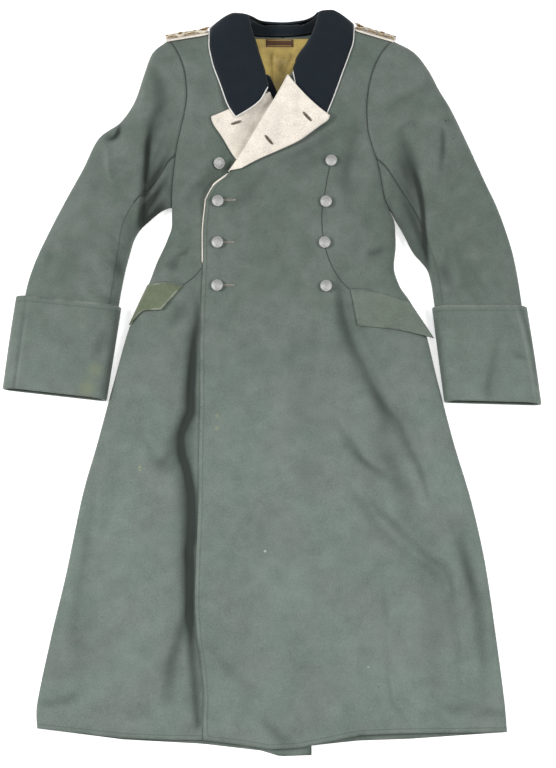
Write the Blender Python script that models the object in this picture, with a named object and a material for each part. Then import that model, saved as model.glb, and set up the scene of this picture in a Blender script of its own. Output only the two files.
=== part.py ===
"""A double-breasted officer's greatcoat, laid flat on its back with the fronts up.

Metres. +X is the wearer's left, +Y points to the collar, +Z is up, and the coat
lies on the plane z = 0. "left" and "right" in names are the wearer's.
"""
import math

import bmesh
import bpy
import numpy as np
from mathutils import Vector
from mathutils.bvhtree import BVHTree

# Driving dimensions
WOOL = 0.002              # melton cloth wall
FACING = 0.0015           # lapel facing and lapel underside
SATIN = 0.001             # lining
CUFF_WALL = 0.0025
GAP = 0.0003              # clearance between pieces that are sewn together
SIDE_ROLL = 0.045         # width over which a front rounds down to its side seam
SIDE_CURL = 0.022         # width over which the back curls up to its side seam
SHOULDER_SEAM = 0.022     # height of the shoulder seams
SHOULDER_ROLL = 0.022     # width over which the shoulders round over
BUTTON_RADIUS = 0.0105
BOARD_WIDTH = 0.045       # shoulder boards
BOARD_SLOPE = math.radians(57)

# Share of the armhole, from the armpit to the shoulder tip, at each row of points
ARMHOLE_STEPS = (0, 0.03, 0.08, 0.17, 0.28, 0.40, 0.52, 0.64, 0.76, 0.87, 0.94, 0.98, 1)
SEAM_STEP = 4             # the armhole step where the front sleeve seam starts


def table(columns, *rows):
    """One array for each named column."""
    return dict(zip(columns.split(), np.array(rows, float).T))


def ease(share):
    """0 to 1 with soft ends."""
    share = np.clip(share, 0, 1)
    return share * share * (3 - 2 * share)


def roll(distance, width):
    """0 at an edge, rising to 1 over a quarter ellipse of the given width."""
    share = np.clip(np.asarray(distance) / width, 0, 1)
    return np.sqrt(1 - (1 - share) ** 2)


def through(values, at):
    """A smooth curve through values at 0, 1, 2 ... that never overshoots them."""
    step = np.diff(values)
    slope = np.concatenate(([step[0]], np.zeros(len(values) - 2), [step[-1]]))
    product = step[:-1] * step[1:]
    total = step[:-1] + step[1:]
    slope[1:-1] = np.where(product > 0, 2 * product / np.where(total == 0, 1, total), 0)
    low = np.clip(np.floor(at).astype(int), 0, len(values) - 2)
    t = at - low
    return (values[low] * (1 + 2 * t) * (1 - t) ** 2 + slope[low] * t * (1 - t) ** 2
            + values[low + 1] * t * t * (3 - 2 * t) + slope[low + 1] * t * t * (t - 1))


def sample(rows, names, shares):
    """Points at shares of the length of the smooth curve through a table's rows."""
    columns = [rows[name] for name in names.split()]
    fine = np.linspace(0, len(columns[0]) - 1, 60 * len(columns[0]))
    curve = np.stack([through(column, fine) for column in columns], axis=1)
    length = np.concatenate(([0], np.cumsum(np.linalg.norm(np.diff(curve, axis=0), axis=1))))
    at = np.interp(np.asarray(shares) * length[-1], length, fine)
    return np.stack([through(column, at) for column in columns], axis=1)


def creases(folds, x, y):
    """Height of soft ridges and troughs, each a row of a fold table."""
    height = np.zeros(np.shape(x))
    for x0, y0, x1, y1, bow, width, rise in zip(*folds.values()):
        length = math.hypot(x1 - x0, y1 - y0)
        along = ((x - x0) * (x1 - x0) + (y - y0) * (y1 - y0)) / length ** 2
        aside = ((y - y0) * (x1 - x0) - (x - x0) * (y1 - y0)) / length
        aside = aside - bow * 4 * along * (1 - along)
        height = height + rise * ease(along / 0.25) * ease((1 - along) / 0.25) * np.exp(-(aside / width) ** 2)
    return height


def normals(grid, up, closed=False):
    """Unit normals of a grid of points, turned to the side where up is positive."""
    if closed:
        across = np.roll(grid, -1, axis=1) - np.roll(grid, 1, axis=1)
    else:
        across = np.gradient(grid, axis=1)
    normal = np.cross(across, np.gradient(grid, axis=0))
    normal /= np.linalg.norm(normal, axis=2, keepdims=True) + 1e-12
    return normal * np.sign(np.sum(normal[..., 2])) * up


def unit(vector):
    """The vector at length one."""
    return vector / (np.linalg.norm(vector, axis=-1, keepdims=True) + 1e-12)


def cloth_material(name, colour, roughness, metallic=0.0):
    """A plain finish for one kind of cloth or trim."""
    material = bpy.data.materials.new(name)
    material.use_nodes = True
    shader = material.node_tree.nodes["Principled BSDF"]
    shader.inputs["Base Color"].default_value = (*colour, 1)
    shader.inputs["Roughness"].default_value = roughness
    shader.inputs["Metallic"].default_value = metallic
    return material


def add_object(name, bm, material):
    """A named object from a bmesh, shaded smooth between its sharp rims."""
    bmesh.ops.recalc_face_normals(bm, faces=bm.faces)
    mesh = bpy.data.meshes.new(name)
    bm.to_mesh(mesh)
    bm.free()
    mesh.shade_smooth()
    mesh.set_sharp_from_angle(angle=math.radians(45))
    mesh.materials.append(material)
    piece = bpy.data.objects.new(name, mesh)
    bpy.context.collection.objects.link(piece)
    return piece


def wall(name, outer, inner, material, closed=False):
    """A cloth wall between two grids of points, with closed rims."""
    bm = bmesh.new()
    out = [[bm.verts.new(point) for point in row] for row in outer]
    inn = [[bm.verts.new(point) for point in row] for row in inner]
    rows = len(out)
    columns = len(out[0])
    for c in range(columns if closed else columns - 1):
        d = (c + 1) % columns
        for r in range(rows - 1):
            bm.faces.new((out[r][c], out[r][d], out[r + 1][d], out[r + 1][c]))
            bm.faces.new((inn[r][c], inn[r + 1][c], inn[r + 1][d], inn[r][d]))
        bm.faces.new((out[0][c], inn[0][c], inn[0][d], out[0][d]))
        bm.faces.new((out[-1][c], out[-1][d], inn[-1][d], inn[-1][c]))
    if not closed:
        for r in range(rows - 1):
            bm.faces.new((out[r][0], out[r + 1][0], inn[r + 1][0], inn[r][0]))
            bm.faces.new((out[r][-1], inn[r][-1], inn[r + 1][-1], out[r + 1][-1]))
    return add_object(name, bm, material)


def tube(name, path, radius, sides, material):
    """A round cord along a path of points, with closed ends."""
    tangent = unit(np.gradient(path, axis=0))
    side = unit(np.cross(tangent, (0, 0, 1)))
    top = np.cross(side, tangent)
    bm = bmesh.new()
    rings = []
    for point, a, b in zip(path, side, top):
        turns = (math.tau * k / sides for k in range(sides))
        rings.append([bm.verts.new(point + radius * (math.cos(t) * a + math.sin(t) * b)) for t in turns])
    for first, second in zip(rings, rings[1:]):
        for k in range(sides):
            bm.faces.new((first[k], first[k - 1], second[k - 1], second[k]))
    bm.faces.new(rings[0])
    bm.faces.new(rings[-1])
    return add_object(name, bm, material)


for leftover in list(bpy.data.objects):
    bpy.data.objects.remove(leftover)

WOOL_GREEN = cloth_material("field_grey_wool", (0.158, 0.198, 0.168), 0.9)
FLAP_GREEN = cloth_material("flap_wool", (0.165, 0.190, 0.125), 0.9)
COLLAR_BLUE = cloth_material("collar_wool", (0.018, 0.026, 0.034), 0.9)
STONE = cloth_material("stone_wool", (0.66, 0.61, 0.55), 0.85)
WHITE = cloth_material("white_piping", (0.82, 0.81, 0.78), 0.7)
GOLD_SATIN = cloth_material("gold_satin", (0.36, 0.27, 0.08), 0.45)
LABEL_BROWN = cloth_material("label_weave", (0.10, 0.05, 0.03), 0.7)
GREY_METAL = cloth_material("grey_metal", (0.42, 0.42, 0.41), 0.5, 0.8)
GILT = cloth_material("gilt", (0.45, 0.30, 0.12), 0.4, 0.9)
SILVER_CORD = cloth_material("silver_cord", (0.62, 0.52, 0.38), 0.5, 0.5)

# Side seams from the hem to the armpit
SIDE_LEFT = table("x y z",
                  (0.395, -0.628, 0.005), (0.393, -0.590, 0.006), (0.381, -0.470, 0.008),
                  (0.367, -0.350, 0.008), (0.346, -0.240, 0.008), (0.319, -0.140, 0.008),
                  (0.291, -0.020, 0.009), (0.272, 0.066, 0.009), (0.248, 0.117, 0.009),
                  (0.228, 0.149, 0.009), (0.219, 0.183, 0.009), (0.223, 0.225, 0.010),
                  (0.222, 0.262, 0.011), (0.213, 0.289, 0.012))
SIDE_RIGHT = table("x y z",
                   (-0.394, -0.622, 0.005), (-0.396, -0.592, 0.006), (-0.375, -0.470, 0.008),
                   (-0.354, -0.370, 0.008), (-0.328, -0.225, 0.008), (-0.306, -0.139, 0.008),
                   (-0.281, -0.035, 0.009), (-0.256, 0.066, 0.009), (-0.238, 0.118, 0.009),
                   (-0.222, 0.150, 0.009), (-0.208, 0.190, 0.009), (-0.190, 0.232, 0.010),
                   (-0.1815, 0.262, 0.011), (-0.182, 0.294, 0.012))

# Armholes from the armpit to the shoulder tip: height of the front's and the back's edge
ARMHOLE_LEFT = table("x y front back",
                     (0.213, 0.289, 0.012, 0.0117), (0.204, 0.306, 0.019, 0.0030), (0.200, 0.325, 0.023, 0),
                     (0.192, 0.370, 0.028, 0), (0.181, 0.406, 0.033, 0), (0.173, 0.442, 0.036, 0),
                     (0.172, 0.475, 0.038, 0), (0.175, 0.510, 0.040, 0), (0.182, 0.542, 0.042, 0),
                     (0.194, 0.572, 0.044, 0), (0.211, 0.597, 0.045, 0), (0.226, 0.612, 0.045, 0))
ARMHOLE_RIGHT = table("x y front back",
                      (-0.182, 0.294, 0.012, 0.0117), (-0.182, 0.311, 0.019, 0.0030), (-0.181, 0.332, 0.023, 0),
                      (-0.178, 0.362, 0.028, 0), (-0.174, 0.398, 0.033, 0), (-0.167, 0.435, 0.036, 0),
                      (-0.160, 0.468, 0.038, 0), (-0.156, 0.502, 0.040, 0), (-0.159, 0.540, 0.042, 0),
                      (-0.169, 0.574, 0.044, 0), (-0.182, 0.598, 0.045, 0), (-0.195, 0.6136, 0.045, 0))

# Front edges: up to the armpit's level, then round the break, up the lapel fold and the neck
EDGE_LEFT_LOW = table("x y", (-0.115, -0.641), (-0.114, -0.575), (-0.118, -0.525), (-0.126, -0.476),
                      (-0.131, -0.410), (-0.130, -0.342), (-0.127, -0.240), (-0.127, -0.150), (-0.126, -0.060),
                      (-0.127, 0.030), (-0.126, 0.116), (-0.1235, 0.186), (-0.124, 0.240), (-0.119, 0.304))
EDGE_LEFT_HIGH = table("x y", (-0.119, 0.304), (-0.105, 0.330), (-0.080, 0.351), (-0.058, 0.382),
                       (-0.036, 0.419), (-0.014, 0.458), (0.009, 0.496), (0.030, 0.536), (0.050, 0.560),
                       (0.073, 0.584), (0.089, 0.612), (0.098, 0.632), (0.101, 0.6523))
EDGE_RIGHT_LOW = table("x y", (0.095, -0.640), (0.097, -0.3), (0.097, 0), (0.097, 0.2), (0.092, 0.300))
EDGE_RIGHT_HIGH = table("x y", (0.092, 0.300), (0.080, 0.328), (0.066, 0.350), (0.050, 0.378),
                        (0.034, 0.408), (0.020, 0.440), (0.008, 0.474), (-0.007, 0.508), (-0.022, 0.530),
                        (-0.040, 0.556), (-0.056, 0.584), (-0.067, 0.610), (-0.073, 0.6355))

# Shoulder seams seen from above: a point on each and its slope
SHOULDER_LEFT = {"x": 0.218, "y": 0.6145, "slope": -0.323}
SHOULDER_RIGHT = {"x": -0.191, "y": 0.6143, "slope": 0.180}

# Height of the fronts' outer face along the coat, away from its edges
HEIGHTS = table("y height", (-0.66, 0.012), (-0.45, 0.015), (-0.2, 0.018), (0, 0.021), (0.15, 0.024),
                (0.30, 0.030), (0.42, 0.037), (0.50, 0.041), (0.58, 0.044), (0.66, 0.045))

# Hem lines of the fronts and the back
HEM_FRONT = table("x y", (-0.394, -0.622), (-0.327, -0.629), (-0.253, -0.637), (-0.187, -0.640),
                  (-0.116, -0.641), (-0.053, -0.648), (-0.003, -0.656), (0.047, -0.653), (0.097, -0.643),
                  (0.147, -0.633), (0.214, -0.630), (0.298, -0.629), (0.395, -0.628))
HEM_BACK_RIGHT = table("x y", (-0.394, -0.622), (-0.250, -0.640), (-0.116, -0.647), (-0.018, -0.658),
                       (0.014, -0.6675), (0.067, -0.6655))
HEM_BACK_LEFT = table("x y", (0.030, -0.655), (0.067, -0.650), (0.145, -0.642), (0.232, -0.639), (0.395, -0.628))

# Largest folds of the fronts: two ends, sideways bow, half width and height
BODY_FOLDS = table("x0 y0 x1 y1 bow width rise",
                   (-0.143, 0.13, -0.148, -0.52, 0.004, 0.010, -0.0055),
                   (-0.146, -0.42, -0.176, -0.60, -0.004, 0.011, -0.0035),
                   (-0.165, 0.08, -0.172, -0.42, 0.006, 0.014, 0.0025),
                   (0.118, 0.15, 0.200, -0.10, 0.012, 0.013, -0.0040),
                   (0.185, -0.04, 0.272, -0.36, -0.012, 0.016, -0.0045),
                   (0.262, -0.27, 0.276, -0.60, 0.006, 0.018, -0.0030),
                   (0.150, -0.11, 0.300, -0.36, 0.016, 0.014, -0.0030),
                   (0.292, -0.33, 0.322, -0.62, 0.010, 0.014, -0.0035),
                   (0.215, -0.02, 0.315, -0.34, -0.014, 0.018, 0.0035),
                   (0.080, -0.20, 0.130, -0.62, 0.010, 0.030, 0.0025),
                   (0.010, -0.30, 0.030, -0.66, -0.008, 0.035, 0.0035),
                   (-0.050, 0.02, -0.070, -0.50, 0.004, 0.030, 0.0020),
                   (-0.230, 0.02, -0.290, -0.50, 0.010, 0.026, 0.0025),
                   (-0.255, -0.10, -0.335, -0.60, -0.008, 0.020, -0.0025),
                   (0.060, 0.10, 0.070, -0.30, -0.006, 0.028, -0.0020),
                   (0.185, 0.30, 0.120, 0.16, 0.006, 0.016, -0.0025),
                   (-0.165, 0.27, -0.140, 0.17, 0.004, 0.014, -0.0020),
                   (0.150, 0.43, 0.110, 0.28, -0.008, 0.020, 0.0020),
                   (-0.135, 0.47, -0.130, 0.32, 0.006, 0.018, 0.0020))

# Sleeves: edges seen from above, height, clearance under, share of the armhole's bulge,
# and share of the width, from the inner edge, where the front seam runs
SLEEVE_LEFT = table("outer_x outer_y inner_x inner_y top lift bulge seam",
                    (0.226, 0.612, 0.213, 0.289, 0.044, 0, 1.00, 0.26),
                    (0.262, 0.592, 0.219, 0.280, 0.042, 0, 0.92, 0.25),
                    (0.290, 0.555, 0.223, 0.270, 0.040, 0, 0.80, 0.24),
                    (0.308, 0.519, 0.228, 0.261, 0.038, 0, 0.66, 0.23),
                    (0.326, 0.488, 0.233, 0.252, 0.037, 0, 0.52, 0.22),
                    (0.347, 0.442, 0.240, 0.238, 0.036, 0, 0.36, 0.21),
                    (0.367, 0.394, 0.247, 0.222, 0.035, 0, 0.22, 0.19),
                    (0.388, 0.342, 0.256, 0.206, 0.034, 0, 0.10, 0.15),
                    (0.406, 0.300, 0.268, 0.192, 0.033, 0, 0.03, 0.10),
                    (0.421, 0.255, 0.279, 0.176, 0.031, 0, 0, 0.07),
                    (0.435, 0.200, 0.285, 0.153, 0.029, 0, 0, 0.06),
                    (0.445, 0.126, 0.2895, 0.115, 0.027, 0.003, 0, 0.06),
                    (0.452, 0.040, 0.2980, 0.030, 0.026, 0.003, 0, 0.06),
                    (0.4575, -0.060, 0.3075, -0.057, 0.026, 0.003, 0, 0.06))
SLEEVE_RIGHT = table("outer_x outer_y inner_x inner_y top lift bulge seam",
                     (-0.195, 0.6136, -0.182, 0.294, 0.044, 0, 1.00, 0.26),
                     (-0.222, 0.590, -0.187, 0.293, 0.042, 0, 0.92, 0.25),
                     (-0.238, 0.545, -0.193, 0.291, 0.040, 0, 0.80, 0.24),
                     (-0.252, 0.500, -0.201, 0.287, 0.038, 0, 0.66, 0.23),
                     (-0.278, 0.458, -0.211, 0.279, 0.037, 0, 0.52, 0.22),
                     (-0.317, 0.428, -0.224, 0.267, 0.036, 0, 0.36, 0.21),
                     (-0.346, 0.366, -0.238, 0.253, 0.035, 0, 0.22, 0.19),
                     (-0.376, 0.306, -0.249, 0.233, 0.034, 0, 0.10, 0.15),
                     (-0.403, 0.248, -0.257, 0.203, 0.033, 0, 0.03, 0.10),
                     (-0.427, 0.190, -0.264, 0.172, 0.031, 0, 0, 0.07),
                     (-0.438, 0.153, -0.269, 0.143, 0.029, 0, 0, 0.06),
                     (-0.442, 0.131, -0.2735, 0.113, 0.027, 0.003, 0, 0.06),
                     (-0.450, 0.050, -0.283, 0.035, 0.026, 0.003, 0, 0.06),
                     (-0.4595, -0.034, -0.2955, -0.050, 0.026, 0.003, 0, 0.06))
SLEEVE_EDGE = 0.010       # height of the sleeves' side folds

# Sleeve folds: two ends, bow, half width and height
SLEEVE_FOLDS = table("x0 y0 x1 y1 bow width rise",
                     (-0.205, 0.600, -0.196, 0.420, -0.010, 0.012, -0.0060),
                     (-0.232, 0.560, -0.215, 0.400, -0.004, 0.013, 0.0040),
                     (-0.172, 0.480, -0.205, 0.330, 0.004, 0.011, -0.0050),
                     (-0.176, 0.420, -0.232, 0.290, 0.002, 0.012, 0.0040),
                     (-0.300, 0.440, -0.270, 0.462, 0.002, 0.008, -0.0060),
                     (-0.310, 0.400, -0.318, 0.300, 0.004, 0.012, -0.0030),
                     (-0.285, 0.420, -0.280, 0.300, -0.004, 0.014, 0.0030),
                     (-0.340, 0.180, -0.300, 0.150, 0.004, 0.012, -0.0035),
                     (0.205, 0.580, 0.215, 0.420, 0.012, 0.014, -0.0040),
                     (0.190, 0.470, 0.250, 0.400, 0.006, 0.013, 0.0035),
                     (0.215, 0.410, 0.262, 0.290, 0.006, 0.010, -0.0075),
                     (0.300, 0.440, 0.330, 0.300, 0.006, 0.014, -0.0035),
                     (0.345, 0.330, 0.300, 0.210, -0.006, 0.014, 0.0035),
                     (0.400, 0.200, 0.330, 0.170, 0.006, 0.013, -0.0035),
                     (0.250, 0.520, 0.300, 0.420, 0.008, 0.016, 0.0030))

# Underarm: the line where each upper sleeve folds over the lower, darker underarm
UNDERARM = table("x0 y0 x1 y1 drop width side",
                 (-0.216, 0.420, -0.246, 0.240, 0.0130, 0.012, -1),
                 (0.243, 0.385, 0.279, 0.180, 0.0100, 0.014, 1))

# Turned-back cuffs: edges at the top, middle and mouth
CUFF_LEFT = table("outer_x outer_y inner_x inner_y top",
                  (0.455, 0.106, 0.2855, 0.106, 0.034), (0.465, 0.020, 0.294, 0.022, 0.034),
                  (0.474, -0.069, 0.303, -0.064, 0.033))
CUFF_RIGHT = table("outer_x outer_y inner_x inner_y top",
                   (-0.458, 0.126, -0.2693, 0.106, 0.034), (-0.467, 0.044, -0.280, 0.022, 0.034),
                   (-0.475, -0.041, -0.291, -0.062, 0.033))

# Collar from the wearer's right end, round the back, to the left end:
# neck seam, fold line, a point that shapes the fall, and the fall's outer edge
COLLAR = table("seam_x seam_y seam_z fold_x fold_y fold_z bend_x bend_y bend_z edge_x edge_y edge_z",
               (-0.018, 0.512, 0.0445, -0.008, 0.514, 0.0480, -0.026, 0.480, 0.0500, -0.066, 0.457, 0.0486),
               (-0.036, 0.540, 0.0460, -0.019, 0.550, 0.0500, -0.047, 0.516, 0.0510, -0.079, 0.478, 0.0486),
               (-0.053, 0.573, 0.0465, -0.031, 0.586, 0.0510, -0.061, 0.556, 0.0510, -0.093, 0.518, 0.0472),
               (-0.065, 0.604, 0.0470, -0.040, 0.621, 0.0520, -0.072, 0.595, 0.0520, -0.109, 0.565, 0.0468),
               (-0.071, 0.624, 0.0450, -0.045, 0.644, 0.0515, -0.080, 0.626, 0.0530, -0.115, 0.600, 0.0476),
               (-0.073, 0.637, 0.0340, -0.047, 0.658, 0.0490, -0.084, 0.655, 0.0500, -0.1150, 0.629, 0.0420),
               (-0.063, 0.640, 0.0210, -0.041, 0.660, 0.0420, -0.078, 0.668, 0.0300, -0.102, 0.652, 0.0130),
               (-0.048, 0.638, 0.0120, -0.030, 0.657, 0.0350, -0.058, 0.668, 0.0000, -0.086, 0.642, 0),
               (-0.020, 0.634, 0.0095, -0.010, 0.654, 0.0300, -0.026, 0.664, 0, -0.050, 0.612, 0),
               (0.020, 0.633, 0.0090, 0.020, 0.653, 0.0290, 0.020, 0.662, 0, 0.020, 0.604, 0),
               (0.058, 0.636, 0.0095, 0.050, 0.655, 0.0300, 0.066, 0.667, 0, 0.090, 0.614, 0),
               (0.086, 0.643, 0.0120, 0.071, 0.659, 0.0350, 0.096, 0.669, 0.0000, 0.122, 0.648, 0),
               (0.097, 0.650, 0.0210, 0.082, 0.662, 0.0420, 0.116, 0.672, 0.0300, 0.140, 0.657, 0.0130),
               (0.103, 0.652, 0.0340, 0.088, 0.665, 0.0490, 0.120, 0.664, 0.0500, 0.1500, 0.638, 0.0420),
               (0.099, 0.634, 0.0475, 0.085, 0.648, 0.0515, 0.116, 0.632, 0.0530, 0.148, 0.607, 0.0480),
               (0.091, 0.612, 0.0475, 0.078, 0.622, 0.0520, 0.106, 0.600, 0.0515, 0.139, 0.576, 0.0472),
               (0.077, 0.586, 0.0468, 0.066, 0.596, 0.0510, 0.094, 0.566, 0.0490, 0.126, 0.540, 0.0456),
               (0.059, 0.566, 0.0462, 0.050, 0.570, 0.0490, 0.076, 0.526, 0.0470, 0.112, 0.500, 0.0440),
               (0.044, 0.551, 0.0450, 0.039, 0.547, 0.0468, 0.050, 0.486, 0.0430, 0.092, 0.450, 0.0415))

# Lapels: the front's folded edge and the lapel's outer edge, from the collar to the break
LAPEL_LEFT = table("fold_x fold_y edge_x edge_y lift",
                   (0.030, 0.536, 0.110, 0.454, 0.0062), (0.009, 0.496, 0.083, 0.435, 0.0050),
                   (-0.014, 0.458, 0.050, 0.411, 0.0037), (-0.036, 0.419, 0.012, 0.393, 0.0025),
                   (-0.058, 0.382, -0.026, 0.376, 0.0021), (-0.080, 0.351, -0.060, 0.358, 0.0010))
LAPEL_RIGHT = table("fold_x fold_y edge_x edge_y lift",
                    (-0.007, 0.508, -0.118, 0.455, 0.0021), (0.008, 0.474, -0.098, 0.428, 0.0021),
                    (0.020, 0.440, -0.078, 0.397, 0.0021), (0.034, 0.408, -0.055, 0.371, 0.0021),
                    (0.050, 0.378, -0.010, 0.352, 0.0021), (0.066, 0.350, 0.045, 0.342, 0.0021))
LAPEL_WRAP = 0.012        # length of facing that shows under the folded edge

# Pocket flaps: top and bottom edges at three places, from the front end to the side seam
FLAP_LEFT = table("top_x top_y low_x low_y lift",
                  (0.140, 0.136, 0.152, 0.071, 0.0010), (0.176, 0.133, 0.214, 0.064, 0.0020),
                  (0.246, 0.113, 0.2865, 0.049, 0.0035))
FLAP_RIGHT = table("top_x top_y low_x low_y lift",
                   (-0.160, 0.143, -0.197, 0.099, 0.0035), (-0.192, 0.149, -0.228, 0.098, 0.0025),
                   (-0.223, 0.148, -0.2545, 0.074, 0.0010))

# Buttons: place, and the front that carries them
BUTTONS = (("button_left_1", 0.107, 0.375, "left"), ("button_left_2", 0.097, 0.299, "left"),
           ("button_left_3", 0.094, 0.223, "left"), ("button_left_4", 0.096, 0.143, "left"),
           ("button_right_1", -0.098, 0.373, "right"), ("button_right_2", -0.098, 0.300, "left"),
           ("button_right_3", -0.098, 0.223, "left"), ("button_right_4", -0.098, 0.144, "left"))


def plateau(x, y):
    """Height of the left front's outer face away from its edges."""
    return np.interp(y, HEIGHTS["y"], HEIGHTS["height"]) + creases(BODY_FOLDS, x, y)


def left_edge_x(y):
    """Where the left front's edge lies at a height up the coat."""
    xs = np.concatenate((EDGE_LEFT_LOW["x"], EDGE_LEFT_HIGH["x"][1:]))
    ys = np.concatenate((EDGE_LEFT_LOW["y"], EDGE_LEFT_HIGH["y"][1:]))
    return np.interp(y, ys, xs)


def right_plateau(x, y):
    """The right front, which sinks to pass under the left front and its facing."""
    under = x - left_edge_x(y)
    high = ease((y - 0.255) / 0.07)
    depth = 0.0028 + 0.0104 * high
    flat = ease((under + 0.006) / 0.024) * (1 - high)
    folds = creases(BODY_FOLDS, x, y) * (1 - flat) - 0.0020 * flat
    level = np.interp(y, HEIGHTS["y"], HEIGHTS["height"])
    return level + folds - depth * ease((under + 0.046) / 0.036)


def shoulder_distance(line, x, y):
    """How far a point lies below the shoulder seam."""
    return line["y"] + line["slope"] * (x - line["x"]) - y


def round_shoulder(line, x, y, z):
    """Bring a front's height down over the shoulder to its seam."""
    return SHOULDER_SEAM + (z - SHOULDER_SEAM) * roll(shoulder_distance(line, x, y), SHOULDER_ROLL)


def armhole_points(armhole, line):
    """Front and back edges of an armhole, from the armpit to the shoulder tip."""
    points = sample(armhole, "x y", ARMHOLE_STEPS)
    where = np.interp(points[:, 1], armhole["y"], np.arange(len(armhole["y"])))
    front = through(armhole["front"], where)
    front = round_shoulder(line, points[:, 0], points[:, 1], front)
    front[-1] = SHOULDER_SEAM
    back = np.interp(points[:, 1], armhole["y"], armhole["back"])
    near = 1 - roll(shoulder_distance(line, points[:, 0], points[:, 1]), SHOULDER_ROLL)
    back = np.maximum(back, (SHOULDER_SEAM - GAP) * near)
    back[-1] = SHOULDER_SEAM - GAP
    return np.column_stack((points, front)), np.column_stack((points, back))


LOW_ROWS = 18
LOW_STEPS = np.linspace(0, 1, LOW_ROWS)
NEAR_SIDE = np.array((0, 0.05, 0.18, 0.40, 0.70, 1.0))

# Columns of the left front, as shares of the width inside its side roll
LEFT_SPREAD = np.array((0.06, 0.12, 0.18, 0.24, 0.30, 0.36, 0.42, 0.49, 0.57, 0.66, 0.76, 0.86, 0.94, 0.975, 1))
# Columns of the right front beside the left front's edge, as distances from that edge
BESIDE_EDGE = np.array((-0.050, -0.034, -0.018, -0.007, 0.010))
RIGHT_COLUMNS = 17


def hem_dip(hem, side, edge, x, y):
    """How far the curved hem hangs below a straight line, fading out up the skirt."""
    straight = side[0][1] + (edge[0][1] - side[0][1]) * (x - side[0][0]) / (edge[0][0] - side[0][0])
    order = np.argsort(hem["x"])
    dip = np.interp(x, hem["x"][order], hem["y"][order]) - straight
    return dip * (1 - ease((y + 0.640) / 0.30))


def left_columns(row, start, run, length, width):
    """Distances from the side, inside its roll, of the left front's points in a row."""
    return width + (length - width) * LEFT_SPREAD


def right_columns(row, start, run, length, width):
    """Distances of the right front's points: close together beside the left front's edge."""
    count = RIGHT_COLUMNS - len(NEAR_SIDE)
    even = np.linspace(width, length, count + 1)[1:]
    beside = (left_edge_x(start[1] + run[1]) + BESIDE_EDGE - start[0]) * length / run[0]
    open_part = np.linspace(width, beside[0], count - len(BESIDE_EDGE) - 1)[1:]
    hidden = np.linspace(beside[-1], length, 4)[1:]
    close = np.concatenate((open_part, beside[1:], hidden))
    return close + (even - close) * ease((row - LOW_ROWS + 4) / 6)


def front_panel(name, side, armhole, line, edge_low, edge_high, spread, height, outward):
    """One front: rows from hem to shoulder, columns from the side to the front edge."""
    low = sample(side, "x y z", LOW_STEPS)
    high, _ = armhole_points(armhole, line)
    side_points = np.concatenate((low, high[1:]))
    edge_points = np.concatenate((sample(edge_low, "x y", LOW_STEPS),
                                  sample(edge_high, "x y", ARMHOLE_STEPS)[1:]))
    rows = len(side_points)
    outer = []
    for r in range(rows):
        start = side_points[r]
        run = edge_points[r] - start[:2]
        length = np.linalg.norm(run)
        width = SIDE_ROLL if r < LOW_ROWS else min(SIDE_ROLL, 0.4 * length)
        distance = np.concatenate((NEAR_SIDE * width, spread(r, start, run, length, width)))
        x = start[0] + run[0] * distance / length
        y = start[1] + run[1] * distance / length
        y = y + hem_dip(HEM_FRONT, side_points, edge_points, x, y)
        z = height(x, y)
        if r >= LOW_ROWS - 1:
            z = round_shoulder(line, x, y, z)
        z = start[2] + (z - start[2]) * roll(distance, width)
        if r == rows - 1:
            z = np.full(len(x), SHOULDER_SEAM)
        outer.append(np.column_stack((x, y, z)))
    outer = np.array(outer)
    normal = normals(outer, 1)
    normal[:LOW_ROWS, 0] = (outward, 0, 0)
    normal[LOW_ROWS:, 0] = (0, 0, 1)
    normal[-1, :] = (0, 1, 0)
    return wall(name, outer, outer - WOOL * normal, WOOL_GREEN), outer


front_left, left_grid = front_panel("front_left", SIDE_LEFT, ARMHOLE_LEFT, SHOULDER_LEFT,
                                    EDGE_LEFT_LOW, EDGE_LEFT_HIGH, left_columns, plateau, 1)
front_right, right_grid = front_panel("front_right", SIDE_RIGHT, ARMHOLE_RIGHT, SHOULDER_RIGHT,
                                      EDGE_RIGHT_LOW, EDGE_RIGHT_HIGH, right_columns, right_plateau, -1)

# Back: the neck seam of each half, from the centre-back seam to the shoulder
CENTRE_BACK = 0.020       # x of the centre-back seam
VENT_TOP = -0.20          # the hem vent opens below this
VENT_LAP = 0.067          # x of the right back's free edge in the vent
NECK_LEFT = table("x y", (0.0205, 0.631), (0.060, 0.634), (0.086, 0.641), (0.100, 0.6526))
NECK_RIGHT = table("x y", (0.0195, 0.631), (-0.022, 0.632), (-0.048, 0.635), (-0.073, 0.6355))
NEAR_BACK = np.array((0, 0.06, 0.2, 0.45, 0.75, 1.0))
NEAR_CENTRE = np.array((0.090, 0.056, 0.036, 0))


def vent_edge(y):
    """The right back's edge: the centre seam, stepping out to the vent's free edge."""
    return CENTRE_BACK - GAP + (VENT_LAP - CENTRE_BACK) * ease((VENT_TOP - y) / 0.03)


def back_lift(x, y, is_left):
    """Height of the back's underside over the collar fall and over the vent's lap."""
    collar = 0.0037 * ease((y - 0.560) / 0.025) * ease((0.160 - np.abs(x - CENTRE_BACK)) / 0.03)
    if not is_left:
        return collar
    lap = 0.0024 * ease((VENT_LAP + 0.020 - x) / 0.016) * ease((VENT_TOP + 0.12 - y) / 0.04)
    return collar + lap


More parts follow.
